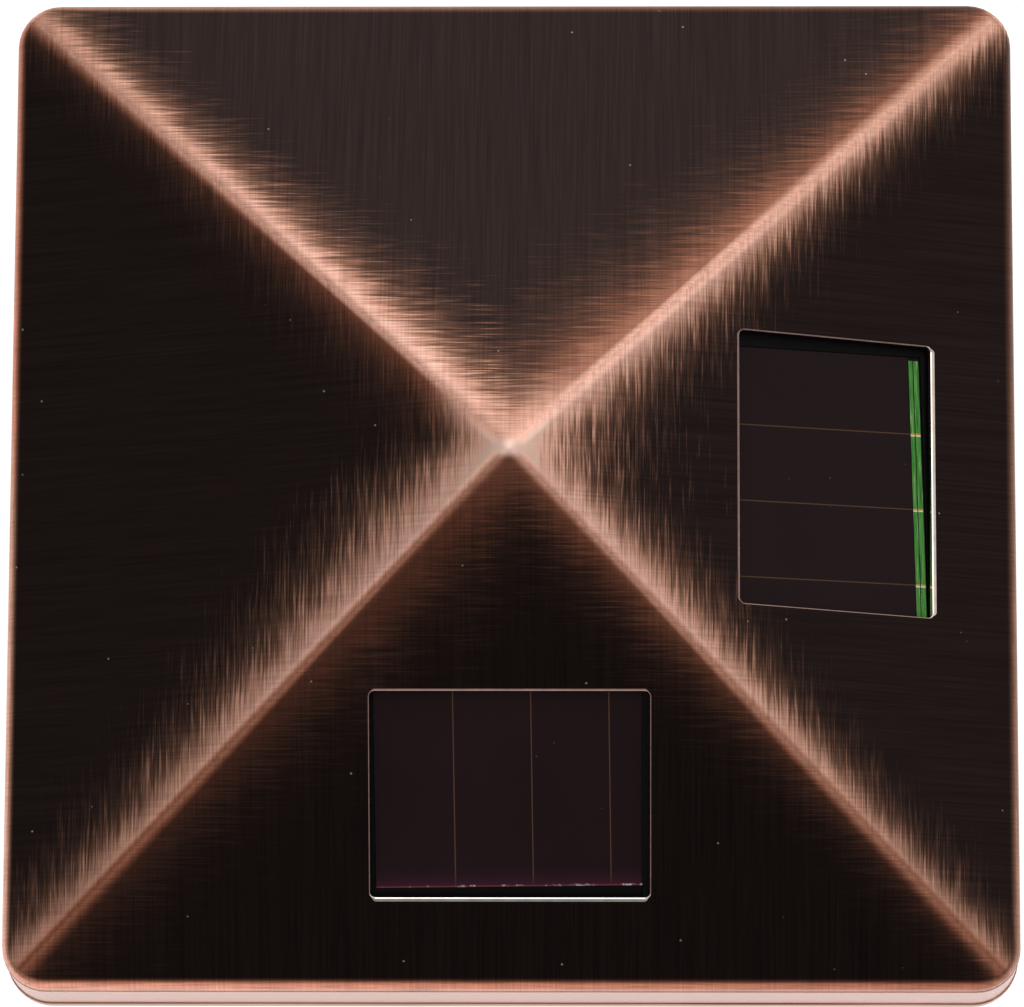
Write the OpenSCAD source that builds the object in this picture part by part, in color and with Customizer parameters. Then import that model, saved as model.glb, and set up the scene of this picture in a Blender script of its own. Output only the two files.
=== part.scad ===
// Solar post cap light for a square deck post, in millimetres, +Z up.
// A stamped pyramid roof with two windows sits on a clear lens ring. The ring stands on a
// base plate, and a collar welded under the plate slips over the post.
// The origin is on the centre line, at the lower edge of the collar.

/* [Post] */
// Width of the square post that the collar slips over
post_w = 88.9; // [84:0.1:91]
// Clearance between the post and the collar on each side
post_gap = 1.3; // [0.5:0.1:2]

/* [Collar] */
// Height of the collar below the face that rests on the post
collar_h = 27.6; // [20:0.1:40]
// Sheet thickness of the collar and the base plate
base_t = 0.9; // [0.6:0.1:1.2]
// Inside corner radius of the collar
collar_r = 3.5; // [2:0.5:5]
// Height of the hem folded outwards at the lower edge
hem_h = 2.5; // [1.5:0.1:4]
// Width of the flange that is welded under the base plate
weld_w = 4; // [2:0.5:5]
// Radius of the holes for the post screws
post_hole_r = 2.3; // [1.5:0.1:3]
// Distance between the two post screw holes on one side
post_hole_pitch = 50; // [30:1:64]

/* [Base plate] */
// Overhang of the base plate past the lens on each side
plate_proud = 0.2; // [0.1:0.1:1.5]
// Depth of the edge that is turned down round the plate
edge_h = 1.8; // [1.4:0.2:6]
// Depth of the seat that is pressed into the plate where it rests on the post
seat_step = 0.4; // [0.2:0.1:0.5]
// Gap between the box and the square opening in the plate on each side
opening_gap = 2; // [1.5:0.1:4]

/* [Lens] */
// Height of the clear band between the plate and the roof
lens_h = 9.5; // [8.5:0.5:16]
// Wall of the lens
lens_t = 2.4; // [2:0.1:3]
// Height of the lip that the roof slips over
lens_lip_h = 1.2; // [0.6:0.1:1.6]
// Width of each locating rib inside the lens
rib_w = 2; // [1.2:0.1:3]
// Depth of each locating rib
rib_d = 1.6; // [1:0.1:2.5]
// Distance of the ribs from the inner corners of the lens
rib_inset = 9.2; // [7:0.1:16]

/* [Roof] */
// Width of the square roof over its rim
roof_w = 127; // [124:0.5:134]
// Rise of the four slopes from the rim line to the sharp apex
roof_rise = 26; // [24:0.5:34]
// Sheet thickness of the roof
roof_t = 0.8; // [0.5:0.1:1]
// Depth of the rim below the line where the slopes would meet it
skirt_h = 2.6; // [2.4:0.1:6]
// Corner radius of the roof seen from above
corner_r = 5.5; // [4:0.5:9]
// Outside radius of the bend between a slope and the rim
bend_r = 1.6; // [1.2:0.1:2.4]
// Outside radius along the four hips
hip_r = 2.2; // [1.4:0.1:4]
// Outside radius of the apex
apex_r = 3; // [2:0.5:6]

/* [Windows] */
// Width of a window along the eave
window_w = 35; // [28:0.5:37]
// Length of a window down the slope
window_l = 27; // [22:0.5:28]
// Distance of a window from the sharp apex, down the slope
window_from_apex = 30.5; // [29:0.5:33]
// Corner radius of a window
window_r = 1; // [0.5:0.1:2]

/* [Solar cells] */
// Width of a cell along the eave
cell_w = 39.2; // [38:0.1:41]
// Length of a cell down the slope
cell_l = 31; // [29:0.5:32]
// Thickness of the glass of a cell
cell_t = 1.8; // [1.2:0.1:2.2]
// Thickness of sealant between the roof and the face of a cell
sealant_t = 0.55; // [0.3:0.05:1]
// Width of the sealant frame along the eave
sealant_w = 50; // [48:0.5:52]
// Length of the sealant frame down the slope
sealant_l = 35; // [34:0.5:36]

/* [Housing] */
// Spare room in the box beside the battery bay
box_spare = 3.1; // [2.8:0.1:4]
// Wall of the box
box_t = 2; // [1.6:0.1:2.4]
// Thickness of the ceiling over the lens band
ceiling_t = 1.6; // [1.2:0.1:2]
// Radius of the corner pillars
pillar_r = 3.4; // [2.8:0.1:4]
// Radius of the screw bosses inside the box
boss_r = 2.8; // [2.4:0.1:3]
// Thickness of the bottom cover
cover_t = 2.6; // [2.4:0.1:3]
// Gap between the bottom cover and the edge of the opening
cover_gap = 0.5; // [0.3:0.1:1]
// Height of the cover's face above the underside of the base plate
cover_recess = 0.6; // [0.4:0.1:1]
// Thickness of the seal between the box and the cover
seal_t = 0.6; // [0.4:0.1:1]

/* [Battery] */
// Radius of the battery
battery_r = 7.25; // [7:0.05:7.3]
// Length of the battery's can
battery_l = 49; // [47:0.5:49.5]
// Height of the nub on the positive end
nub_h = 1.5; // [1:0.1:2]
// Distance of the battery from the centre line, towards the front
battery_y = 12; // [11.6:0.1:12.4]
// Turns of the contact spring
spring_turns = 4; // [3:1:5]
// Wire diameter of the contact spring
spring_wire = 0.7; // [0.5:0.05:0.8]
// Length of the compressed contact spring
spring_l = 5; // [4.8:0.1:5.4]

/* [Battery door] */
// Thickness of the door
door_t = 1.5; // [1.2:0.1:1.6]
// Width of the door across the battery
door_w = 18; // [17.5:0.1:18.4]
// Radius of the hinge knuckles
knuckle_r = 1.3; // [1.1:0.05:1.3]
// Length of each knuckle on the door
knuckle_l = 8; // [5:0.5:10]
// Radius of the hinge pin
pin_r = 0.6; // [0.4:0.05:0.7]

/* [Lamps and board] */
// Radius of a lamp's dome
lamp_r = 1.5; // [1.3:0.05:1.6]
// Length of a lamp from its foot to its tip
lamp_l = 5.4; // [5:0.1:8]
// Height of the lamps above the base plate
lamp_h = 5.2; // [5.1:0.05:5.4]
// Thickness of the circuit board
board_t = 1.6; // [1:0.1:1.6]

/* [Switch] */
// Travel of the switch knob
switch_travel = 2.5; // [1.5:0.1:3]
// Distance of the switch from the centre line, towards the back
switch_y = 15; // [13:0.5:18]

/* [Hidden] */

// Clearances
touch = 0.05;       // between faceted or curved faces that seat on each other
slip = 0.15;        // between pieces that slip together
door_gap = 0.3;     // round the battery door
hinge_gap = 0.05;   // radial, of the door's knuckles on the pin
pin_seat_gap = 0.02;
eps = 0.01;         // makes a cut run past a face

// Sides of the square, as turns about +Z: the right side first
RIGHT = 0;
BACK = 90;
LEFT = 180;
FRONT = -90;

// Levels
seat_z = collar_h;
plate_z = seat_z + seat_step;
deck_z = plate_z + base_t;
shoulder_z = deck_z + lens_h;
rim_z = shoulder_z + skirt_h;
apex_z = rim_z + roof_rise;
pitch = atan(roof_rise / (roof_w / 2));
cover_z = plate_z + cover_recess;
cover_top = cover_z + cover_t;
wall_z = cover_top + seal_t;
lamp_z = deck_z + lamp_h;

// Widths
collar_in = post_w + 2 * post_gap;
collar_out = collar_in + 2 * base_t;
lens_proud = 0.1;
lens_w = roof_w + 2 * lens_proud;
lens_in = lens_w - 2 * lens_t;
lip_w = roof_w - 2 * roof_t - 2 * slip;
plate_w = lens_w + 2 * plate_proud;
ceiling_w = lens_in - 2 * slip;
contact_t = 0.4;
bay_wall = 1.3;
box_in = battery_l + nub_h + spring_l + 2 * contact_t + 2 * bay_wall + box_spare;
box_w = box_in + 2 * box_t;
opening_w = box_w + 2 * opening_gap;
cover_w = opening_w - 2 * cover_gap;
box_r = 4;
opening_r = 4;
cover_r = opening_r - cover_gap;
seal_inset = 0.6;    // keeps the seal clear of the bosses
lens_r = corner_r + lens_proud;
plate_r = lens_r + plate_proud;
rib_pos = lens_in / 2 - rib_inset;

// Corner pillars and their screws, between the corners of the welded flange and the lens
flange_half = collar_out / 2 + weld_w;
flange_r = collar_r + weld_w;
base_screw_r = 1.4;
base_screw_l = 12;
base_head_r = 2.6;
base_head_h = 1.6;
pilot_spare = 1.5;
flange_tip = flange_half - flange_r * (1 - sqrt(0.5));
lens_tip = lens_in / 2 - (lens_r - lens_t) * (1 - sqrt(0.5));
pillar_room = (lens_tip - flange_tip) * sqrt(2) - base_head_r - pillar_r;
pillar_share = 0.22; // of that room, between the screw head and the flange
pillar_pos = flange_tip + (base_head_r + pillar_share * pillar_room) * sqrt(0.5);

// Bosses in the box, and the small screws
boss_merge = 0.3;   // each boss runs into the wall of the box
boss_pos = box_in / 2 - boss_r + boss_merge;
small_r = 0.95;
small_head_r = 1.9;
small_head_h = 1.2;
small_pilot = 7;
counterbore_gap = 0.4;
counterbore_r = small_head_r + counterbore_gap;
counterbore_d = small_head_h + counterbore_gap;

// Battery, its bay and its contacts
bay_gap = 0.45;
bay_grip = 4;
battery_lift = 0.6;
bay_half = battery_r + bay_gap;
battery_z = cover_z + door_t + battery_lift + battery_r;
bay_left = -(box_in / 2 - bay_wall);
battery_left = bay_left + contact_t + spring_l;
battery_right = battery_left + battery_l + nub_h;
bay_right = battery_right + contact_t;
bay_wall_top = battery_z + bay_grip;
nub_r = 2.6;
contact_w = 9;
contact_drop = 5;
contact_low = battery_z - contact_drop;
contact_tab = 2;    // stands above the wall of the bay, for the wire
contact_top = bay_wall_top + contact_tab;
battery_wire_y = 3;

// Battery door and hinge
door_lap = 2;
door_len = bay_right - bay_left + 2 * door_lap;
door_x = (bay_right + bay_left) / 2;
door_back = -battery_y + door_w / 2;
door_front = -battery_y - door_w / 2;
knuckle_gap = 0.1;
hinge_y = door_front - knuckle_r - knuckle_gap;
hinge_z = cover_z + knuckle_r;
hinge_sweep = norm([knuckle_r + knuckle_gap, knuckle_r]) + knuckle_gap;
hinge_inset = 11.15;
hinge_pos = door_len / 2 - hinge_inset;
ear_l = 3.5;
ear_gap = 0.2;
trough_t = 1;
pin_l = 2 * (hinge_pos + knuckle_l / 2 + ear_gap + ear_l);
trough_seat = 0.8;
web_drop = 0.4;
notch_r = 6;
notch_d = 1;

// Latch tongue on the door. It stops short of the edge of the battery opening
latch_w = 12;
latch_t = 1;
latch_room = 0.6;
barb_w = latch_w / 2;
barb_d = 0.25;
barb_h = 0.8;
latch_y = -battery_y + bay_half - latch_room - latch_t;
grip_pitch = 1.5;
grip_w = 0.6;
grip_h = 0.3;
grip_count = 4;

// Board
board_lift = 1;
board_gap = 0.7;
board_z = battery_z + battery_r + board_lift;
board_w = box_in - 2 * board_gap;
wall_top = board_z + board_t + slip;

// Parts that hang under the board
part_gap = 0.2;
part_y = 7;
lead_w = 0.4;
chip_inset = 12.3;
chip_x = chip_inset - board_w / 2;
chip_w = 4;
chip_t = 1.6;
chip_h = 3;
chip_pitch = 1;
choke_inset = 13.3;
choke_x = board_w / 2 - choke_inset;
choke_r = 1.6;
choke_l = 7;
capacitor_inset = 10.3;
capacitor_x = choke_x;
capacitor_y = board_w / 2 - capacitor_inset;
capacitor_r = 2.5;
capacitor_h = 7;

// Lamps
lamp_foot_t = 1;
lamp_flange = 0.4;
lamp_leg = 2.4;
leg_w = 0.5;
leg_pitch = 2.54;

// Switch
knob_w = 2.4;
knob_d = 3;
knob_foot_w = 4.4;
knob_foot_h = 1.2;
switch_w = 12.6;
switch_d = 6;
switch_h = 4.6;
switch_ear_w = 20;
switch_ear_t = 0.5;
switch_screw_x = 8;
dish_w = 14;
dish_l = 8;
dish_r = 2;
dish_depth = 1.2;
knob_z = cover_z + slip;
knob_lift = 0.2;     // between the knob's foot and the cover
cavity_gap = 0.4;
terminal_w = 1.2;
terminal_t = 0.4;
terminal_l = 3;
terminal_pitch = 2.5;
switch_screw_r = 0.75;
switch_screw_l = 1.5;
switch_pilot = 1.2;
switch_screw_head_r = 1.4;
switch_screw_head_h = 0.9;

// Wires
wire_d = 1.2;
wire_sides = 8;
wire_steps = 10;
wire_bend = 3;

// Solder tabs on the back of each cell, and the sideways reach of their wires
tab_inset = 3;
tab_y = 3;
wire_reach = 6;

// Colours
copper = "#b87358";
clear_acrylic = [0.85, 0.88, 0.9, 0.4];
black_abs = "#1b1b1d";
black_rubber = "#0f0f10";
cell_glass = "#221418";
board_green = "#1f5a34";
steel = "#b9babd";
nickel = "#c9c5bb";
sleeve_green = "#2f6b46";
wire_red = "#a32222";

// ---------------------------------------------------------------- shared shapes

// Outline of a rectangle with round corners, centred
module rounded(w, l, r) {
    square([w - 2 * r, l], center = true);
    square([w, l - 2 * r], center = true);
    for (x = [-1, 1], y = [-1, 1])
        translate([x * (w / 2 - r), y * (l / 2 - r)]) circle(r, $fn = 48);
}

// Plate with round corners, from z upwards
module slab(w, l, r, z, h) {
    translate([0, 0, z]) linear_extrude(h) rounded(w, l, r);
}

// Square ring with round corners, from z upwards
module ring(out_w, out_r, in_w, in_r, z, h) {
    difference() {
        slab(out_w, out_w, out_r, z, h);
        slab(in_w, in_w, in_r, z - eps, h + 2 * eps);
    }
}

// Copies at the four corners of a square
module at_corners(pos) {
    for (x = [-1, 1], y = [-1, 1]) translate([x * pos, y * pos, 0]) children();
}

// Copies on all four sides
module on_sides() {
    for (turn = [RIGHT, BACK, LEFT, FRONT]) rotate([0, 0, turn]) children();
}

// Frame of one slope: x runs down from the sharp apex, y along the eave, z out of the slope
module on_slope(turn) {
    rotate([0, 0, turn]) translate([0, 0, apex_z]) rotate([0, pitch, 0]) children();
}

// Pan head screw pointing up, its head below z and its thread above
module screw(r, l, head_r, head_h, z) {
    translate([0, 0, z]) cylinder(r = r, h = l, $fn = 32);
    difference() {
        translate([0, 0, z - head_h]) cylinder(r = head_r, h = head_h, $fn = 32);
        // Cross recess
        for (turn = [0, 90]) rotate([0, 0, turn])
            translate([0, 0, z - head_h]) cube([head_r * 1.2, head_r * 0.3, head_h], center = true);
    }
}

// Height of a slope that lies inset below the outer slope, at a distance x from the middle
function slope_z(x, inset) = rim_z + (roof_w / 2 - x) * tan(pitch) - inset / cos(pitch);

// Points of a cubic curve
function curve(a, b, c, d, steps) = [
    for (i = [0:steps]) let (t = i / steps, u = 1 - t)
        u * u * u * a + 3 * u * u * t * b + 3 * u * t * t * c + t * t * t * d
];

// Direction of a path at point i
function along(path, i) =
    let (v = path[min(i + 1, len(path) - 1)] - path[max(i - 1, 0)]) v / norm(v);

// Ring of points square to the path at point i, with side giving its zero direction
function ring_at(path, i, side, r, sides) =
    let (t = along(path, i), n = cross(t, side), u = n / norm(n), v = cross(t, u))
    [for (k = [0:sides - 1]) path[i] + r * (cos(360 * k / sides) * u + sin(360 * k / sides) * v)];

// Tube along a path. sides_of holds one side direction for each point
module tube(path, sides_of, r, sides) {
    n = len(path);
    points = [for (i = [0:n - 1], p = ring_at(path, i, sides_of[i], r, sides)) p];
    walls = [
        for (i = [0:n - 2], k = [0:sides - 1])
            let (a = i * sides + k, b = i * sides + (k + 1) % sides)
            each [[a, b + sides, b], [a, a + sides, b + sides]]
    ];
    caps = [
        for (k = [1:sides - 2])
            each [[0, k, k + 1], [(n - 1) * sides, (n - 1) * sides + k + 1, (n - 1) * sides + k]]
    ];
    polyhedron(points, concat(walls, caps));
}

// Insulated wire from a to d: it leaves along a to b and arrives along c to d
module wire(a, b, c, d, side) {
    path = curve(a, b, c, d, wire_steps);
    tube(path, [for (p = path) side], wire_d / 2, wire_sides);
}

// ---------------------------------------------------------------- roof

// Distance from the rim at which a hip takes its full radius
hip_inset = 8.8;

// Solid under a surface that lies inset below the outer face of the roof, down to z_low
module roof_solid(inset, z_low) {
    half = roof_w / 2 - inset;
    plan_r = corner_r - inset;
    bend = bend_r - inset;
    hip = hip_r - inset;
    apex = apex_r - inset;
    bend_z = slope_z(half - bend, inset) - bend / cos(pitch);
    hip_start = half - hip_inset;
    hull() {
        at_corners(half - plan_r) {
            translate([0, 0, bend_z]) rotate_extrude($fn = 48) translate([plan_r - bend, 0])
                intersection() {
                    circle(bend, $fn = 32);
                    translate([-bend, 0]) square([2 * bend, bend]);
                }
            translate([0, 0, z_low]) cylinder(r = plan_r, h = bend_z - z_low, $fn = 48);
        }
        at_corners(hip_start)
            translate([0, 0, slope_z(hip_start, inset) - hip / cos(pitch)]) sphere(hip, $fn = 32);
        translate([0, 0, slope_z(0, inset) - apex / cos(pitch)]) sphere(apex, $fn = 32);
    }
}

// Region under the flat slopes, lying inset below the outer face
module under_slopes(inset) {
    half = roof_w / 2;
    gable = [
        [-half, deck_z], [half, deck_z], [half, slope_z(half, inset)],
        [0, slope_z(0, inset)], [-half, slope_z(half, inset)]
    ];
    intersection_for (turn = [0, 90])
        rotate([90, 0, turn]) translate([0, 0, -half]) linear_extrude(roof_w) polygon(gable);
}

// Middle of a window, down the slope
window_mid = window_from_apex + window_l / 2;
cut_d = 4;

module window_cut(grow) {
    translate([window_mid, 0, -cut_d]) linear_extrude(2 * cut_d)
        rounded(window_l + 2 * grow, window_w + 2 * grow, window_r + grow);
}

module roof_cap() {
    color(copper) difference() {
        roof_solid(0, shoulder_z);
        roof_solid(roof_t, shoulder_z - roof_t);
        for (turn = [RIGHT, FRONT]) on_slope(turn) window_cut(0);
    }
}

// Height of the pillars, just short of the roof
adhesive_min = 0.6;
pillar_top = slope_z(pillar_pos + pillar_r, roof_t) - adhesive_min;

module roof_adhesive() {
    color("ivory") intersection() {
        under_slopes(roof_t + touch);
        at_corners(pillar_pos) translate([0, 0, pillar_top])
            cylinder(r = pillar_r, h = roof_rise, $fn = 48);
    }
}

// ---------------------------------------------------------------- solar cells

// Each cell sits a little off the middle of its window, and a little askew
// [side, shift down the slope, shift along the eave, skew in degrees]
CELL_FRONT = [FRONT, -3.5, 2.7, 0.7];
CELL_RIGHT = [RIGHT, -2.8, -3.8, 1.6];

module at_cell(place) {
    translate([window_mid + place[1], place[2], 0]) rotate([0, 0, place[3]]) children();
}

cell_top = roof_t + touch + sealant_t;
sealant_grip = 1.25;
sealant_lip = 0.4;
sealant_r = 3;

module solar_cell(place) {
    color(cell_glass) on_slope(place[0]) at_cell(place)
        translate([-cell_l / 2, -cell_w / 2, -cell_top - cell_t]) cube([cell_l, cell_w, cell_t]);
}

module cell_sealant(place) {
    color(black_rubber) on_slope(place[0]) difference() {
        translate([window_mid, 0, -cell_top - sealant_grip])
            linear_extrude(sealant_t + sealant_grip) rounded(sealant_l, sealant_w, sealant_r);
        // Opening under the window
        translate([window_mid, 0, -cell_top]) linear_extrude(cut_d)
            rounded(window_l + 2 * sealant_lip, window_w + 2 * sealant_lip, window_r + sealant_lip);
        // Pocket that holds the cell
        at_cell(place) translate([-cell_l / 2, -cell_w / 2, -cell_top - cell_t - cut_d])
            cube([cell_l, cell_w, cell_t + cut_d]);
    }
}

// Two leads from the back of a cell down to the top of the board
module cell_wires(place) {
    back = -cell_top - cell_t;
    start = window_mid + place[1] - cell_l / 2 + tab_inset;
    // The same point in the frame of the side
    foot_x = start * cos(pitch) + back * sin(pitch);
    foot_z = apex_z - start * sin(pitch) + back * cos(pitch);
    board_top = board_z + board_t;
    for (y = [-tab_y, tab_y]) color(y < 0 ? wire_red : black_abs) rotate([0, 0, place[0]])
        wire(
            [foot_x, y, foot_z - wire_d / 2 * sin(pitch) - 2 * touch],
            [foot_x, y, foot_z - wire_bend],
            [foot_x - wire_reach, y, board_top + wire_bend],
            [foot_x - wire_reach, y, board_top + 2 * touch],
            [0, 1, 0]
        );
}

// ---------------------------------------------------------------- lens

rib_top = shoulder_z - ceiling_t;

module lens_ring() {
    color(clear_acrylic) {
        difference() {
            union() {
                slab(lens_w, lens_w, lens_r, deck_z, lens_h);
                slab(lip_w, lip_w, corner_r - roof_t - slip, deck_z, lens_h + lens_lip_h);
            }
            slab(lens_in, lens_in, lens_r - lens_t, deck_z - eps, lens_h + lens_lip_h + 2 * eps);
        }
        on_sides() for (y = [-1, 1])
            translate([lens_in / 2 - rib_d, y * rib_pos - rib_w / 2, deck_z - peg_l])
                cube([rib_d + lens_t / 2, rib_w, rib_top - deck_z + peg_l]);
    }
}

// Pegs at the foot of the ribs, and their slots in the base plate
peg_proud = 0.7;
peg_l = base_t + peg_proud;

module peg_slots() {
    on_sides() for (y = [-1, 1])
        translate([lens_in / 2 - rib_d - slip, y * rib_pos - rib_w / 2 - slip, plate_z - 1])
            cube([rib_d + lens_t / 2 + 2 * slip, rib_w + 2 * slip, base_t + 2]);
}

// ---------------------------------------------------------------- housing

module inner_housing() {
    color(black_abs) difference() {
        union() {
            // Ceiling over the lens band
            slab(ceiling_w, ceiling_w, lens_r - lens_t, rib_top, ceiling_t);
            // Box
            slab(box_w, box_w, box_r, wall_z, wall_top - wall_z);
            at_corners(pillar_pos) translate([0, 0, deck_z])
                cylinder(r = pillar_r, h = pillar_top - deck_z, $fn = 48);
            // Feet of the bosses, which stand on the cover inside the seal
            at_corners(boss_pos) translate([0, 0, cover_top])
                cylinder(r = boss_r, h = wall_z - cover_top + 1, $fn = 48);
        }
        difference() {
            slab(box_in, box_in, box_r - box_t, wall_z, wall_top - wall_z + 1);
            box_insides();
        }
        at_corners(boss_pos) translate([0, 0, cover_top - 1])
            cylinder(r = small_r + touch, h = board_z - cover_top + 2, $fn = 32);
        at_corners(pillar_pos) translate([0, 0, deck_z - 1])
            cylinder(r = base_screw_r + touch, h = base_screw_l + pilot_spare, $fn = 32);
        on_sides() translate([box_w / 2 - box_t - 1, 0, lamp_z]) rotate([0, 90, 0])
            cylinder(r = lamp_r + touch, h = box_t + 2, $fn = 48);
    }
}

// Bosses and the walls of the battery bay
module box_insides() {
    at_corners(boss_pos) translate([0, 0, wall_z - 1])
        cylinder(r = boss_r, h = board_z - wall_z + 1, $fn = 48);
    for (side = [-1, 1])
        translate([-box_w / 2, side * (bay_half + bay_wall / 2) - battery_y - bay_wall / 2, wall_z - 1])
            cube([box_w, bay_wall, bay_wall_top - wall_z + 1]);
    for (x = [-box_in / 2, bay_right])
        translate([x, -battery_y - bay_half - bay_wall / 2, wall_z - 1])
            cube([bay_wall, 2 * bay_half + bay_wall, bay_wall_top - wall_z + 1]);
}

module housing_seal() {
    color(black_rubber) ring(box_w, box_r, box_in + 2 * seal_inset, box_r - box_t, cover_top, seal_t);
}

// ---------------------------------------------------------------- bottom cover

// Cover ears that carry the pin stand on both sides of each door knuckle
function ear_starts() = [
    for (side = [-1, 1], end = [-1, 1])
        door_x + side * hinge_pos + (end > 0 ? knuckle_l / 2 + ear_gap : -knuckle_l / 2 - ear_gap - ear_l)
];

module bottom_cover() {
    door_room = door_len + 2 * door_gap;
    trough_l = pin_l + 2 * slip;
    trough_w = hinge_sweep + knuckle_r + knuckle_gap;
    trough_y = hinge_y - hinge_sweep;
    color(black_abs) difference() {
        union() {
            difference() {
                union() {
                    slab(cover_w, cover_w, cover_r, cover_z, cover_t);
                    // Roof of the hinge trough
                    translate([door_x - trough_l / 2 - trough_seat, trough_y - trough_seat, cover_top])
                        cube([trough_l + 2 * trough_seat, trough_w + trough_seat, trough_t]);
                }
                // Recess for the door
                translate([door_x - door_room / 2, trough_y, cover_z - 1])
                    cube([door_room, door_back + door_gap - trough_y, door_t + touch + 1]);
                // Hinge trough
                translate([door_x - trough_l / 2, trough_y, cover_z - 1])
                    cube([trough_l, trough_w, 2 * knuckle_r + knuckle_gap + 1]);
                // Way in for the battery
                translate([bay_left, -battery_y - bay_half, cover_z - 1])
                    cube([bay_right - bay_left, 2 * bay_half, cover_t + 2]);
                // Finger notch over the latch
                translate([door_x, door_back + door_gap, cover_z - 1])
                    cylinder(r = notch_r, h = notch_d + 1, $fn = 48);
            }
            // Ears with webs to the far side of the trough
            for (x = ear_starts()) {
                translate([x, hinge_y, hinge_z]) rotate([0, 90, 0])
                    cylinder(r = knuckle_r, h = ear_l, $fn = 48);
                translate([x, trough_y - trough_seat / 2, hinge_z - web_drop])
                    cube([ear_l, hinge_sweep + trough_seat / 2, web_drop + knuckle_r + trough_t / 2]);
            }
        }
        // Bore for the pin
        translate([door_x - pin_l / 2 - slip, hinge_y, hinge_z]) rotate([0, 90, 0])
            cylinder(r = pin_r + pin_seat_gap, h = pin_l + 2 * slip, $fn = 32);
        // Screws
        at_corners(boss_pos) {
            translate([0, 0, cover_z - 1]) cylinder(r = counterbore_r, h = counterbore_d + 1, $fn = 48);
            translate([0, 0, cover_z]) cylinder(r = small_r + slip, h = cover_t + 1, $fn = 32);
        }
        // Dish and slot for the switch knob
        translate([0, switch_y, 0]) slab(dish_w, dish_l, dish_r, cover_z - 1, dish_depth + 1);
        translate([-(knob_w + switch_travel) / 2 - door_gap, switch_y - knob_d / 2 - door_gap, cover_z])
            cube([knob_w + switch_travel + 2 * door_gap, knob_d + 2 * door_gap, cover_t + 1]);
        // Pilot holes of the switch screws
        for (x = [-1, 1]) translate([x * switch_screw_x, switch_y, cover_top - switch_pilot])
            cylinder(r = switch_screw_r + touch, h = switch_pilot + 1, $fn = 32);
    }
}

module cover_screws() {
    color(steel) at_corners(boss_pos)
        screw(small_r, small_pilot, small_head_r, small_head_h, cover_z + counterbore_d);
}

module battery_door() {
    plate_y = hinge_y + knuckle_r + knuckle_gap;
    color(black_abs) difference() {
        union() {
            translate([door_x - door_len / 2, plate_y, cover_z]) cube([door_len, door_w, door_t]);
            for (side = [-1, 1]) translate([door_x + side * hinge_pos - knuckle_l / 2, 0, 0]) {
                translate([0, hinge_y, hinge_z]) rotate([0, 90, 0])
                    cylinder(r = knuckle_r, h = knuckle_l, $fn = 48);
                translate([0, hinge_y, cover_z])
                    cube([knuckle_l, knuckle_r + 2 * knuckle_gap, door_t]);
            }
            // Latch tongue with its barb
            translate([door_x - latch_w / 2, latch_y, cover_z])
                cube([latch_w, latch_t, cover_t + barb_h]);
            translate([door_x - barb_w / 2, latch_y, cover_top])
                cube([barb_w, latch_t + barb_d, barb_h]);
            // Grip ribs
            for (i = [1:grip_count])
                translate([door_x - latch_w / 2, door_back - i * grip_pitch, cover_z - grip_h])
                    cube([latch_w, grip_w, grip_h + door_t / 2]);
        }
        translate([door_x - door_len / 2, hinge_y, hinge_z]) rotate([0, 90, 0])
            cylinder(r = pin_r + hinge_gap, h = door_len, $fn = 32);
    }
}

module hinge_pin() {
    color(steel) translate([door_x - pin_l / 2, hinge_y, hinge_z]) rotate([0, 90, 0])
        cylinder(r = pin_r, h = pin_l, $fn = 32);
}

// ---------------------------------------------------------------- battery and contacts

module battery() {
    color(sleeve_green) translate([battery_left, -battery_y, battery_z]) rotate([0, 90, 0]) {
        cylinder(r = battery_r, h = battery_l, $fn = 64);
        cylinder(r = nub_r, h = battery_l + nub_h - touch, $fn = 48);
    }
}

module contact(x) {
    color(nickel) translate([x, -battery_y - contact_w / 2, contact_low])
        cube([contact_t, contact_w, contact_top - contact_low]);
}

module contact_positive() {
    contact(bay_right - contact_t);
}

module contact_negative() {
    contact(bay_left);
}

// Conical spring between the negative plate and the battery, one unbroken wire
spring_steps = 24;
spring_wide = 4;
spring_narrow = 2.6;
spring_run = spring_l - spring_wire - 2 * touch;
spring_spots = [
    for (i = [0:spring_steps * spring_turns])
        let (t = i / (spring_steps * spring_turns), a = 360 * spring_turns * t,
             r = spring_wide + (spring_narrow - spring_wide) * t)
        [bay_left + contact_t + touch + spring_wire / 2 + spring_run * t,
         -battery_y + r * cos(a), battery_z + r * sin(a)]
];

// Least distance between points of a path that lie at least skip points apart
function least_gap(path, skip) = min([
    for (i = [0:len(path) - skip - 1], j = [i + skip:len(path) - 1]) norm(path[i] - path[j])
]);

module contact_spring() {
    echo(spring_least_gap = least_gap(spring_spots, spring_steps / 2) - spring_wire);
    color(nickel) tube(spring_spots, [for (p = spring_spots) [1, 0, 0]], spring_wire / 2, 6);
}

module battery_wires() {
    y = -battery_y + battery_wire_y;
    bend = wire_d + touch;
    left_x = bay_left + contact_t + wire_d / 2 + touch;
    right_x = bay_right + wire_d / 2 + touch;
    color(black_abs) wire(
        [left_x, y, contact_top - contact_tab],
        [left_x, y, contact_top],
        [left_x + bend, y, board_z - bend],
        [left_x + bend, y, board_z - touch],
        [0, 1, 0]
    );
    color(wire_red) wire(
        [right_x, y, contact_top - contact_tab + touch],
        [right_x, y, contact_top],
        [right_x + bend, y, board_z - bend],
        [right_x + bend, y, board_z - touch],
        [0, 1, 0]
    );
}

// ---------------------------------------------------------------- board and lamps

module circuit_board() {
    color(board_green) difference() {
        translate([-board_w / 2, -board_w / 2, board_z]) cube([board_w, board_w, board_t]);
        at_corners(boss_pos) translate([0, 0, board_z - 1])
            cylinder(r = small_r + slip, h = board_t + 2, $fn = 32);
    }
}

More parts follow.
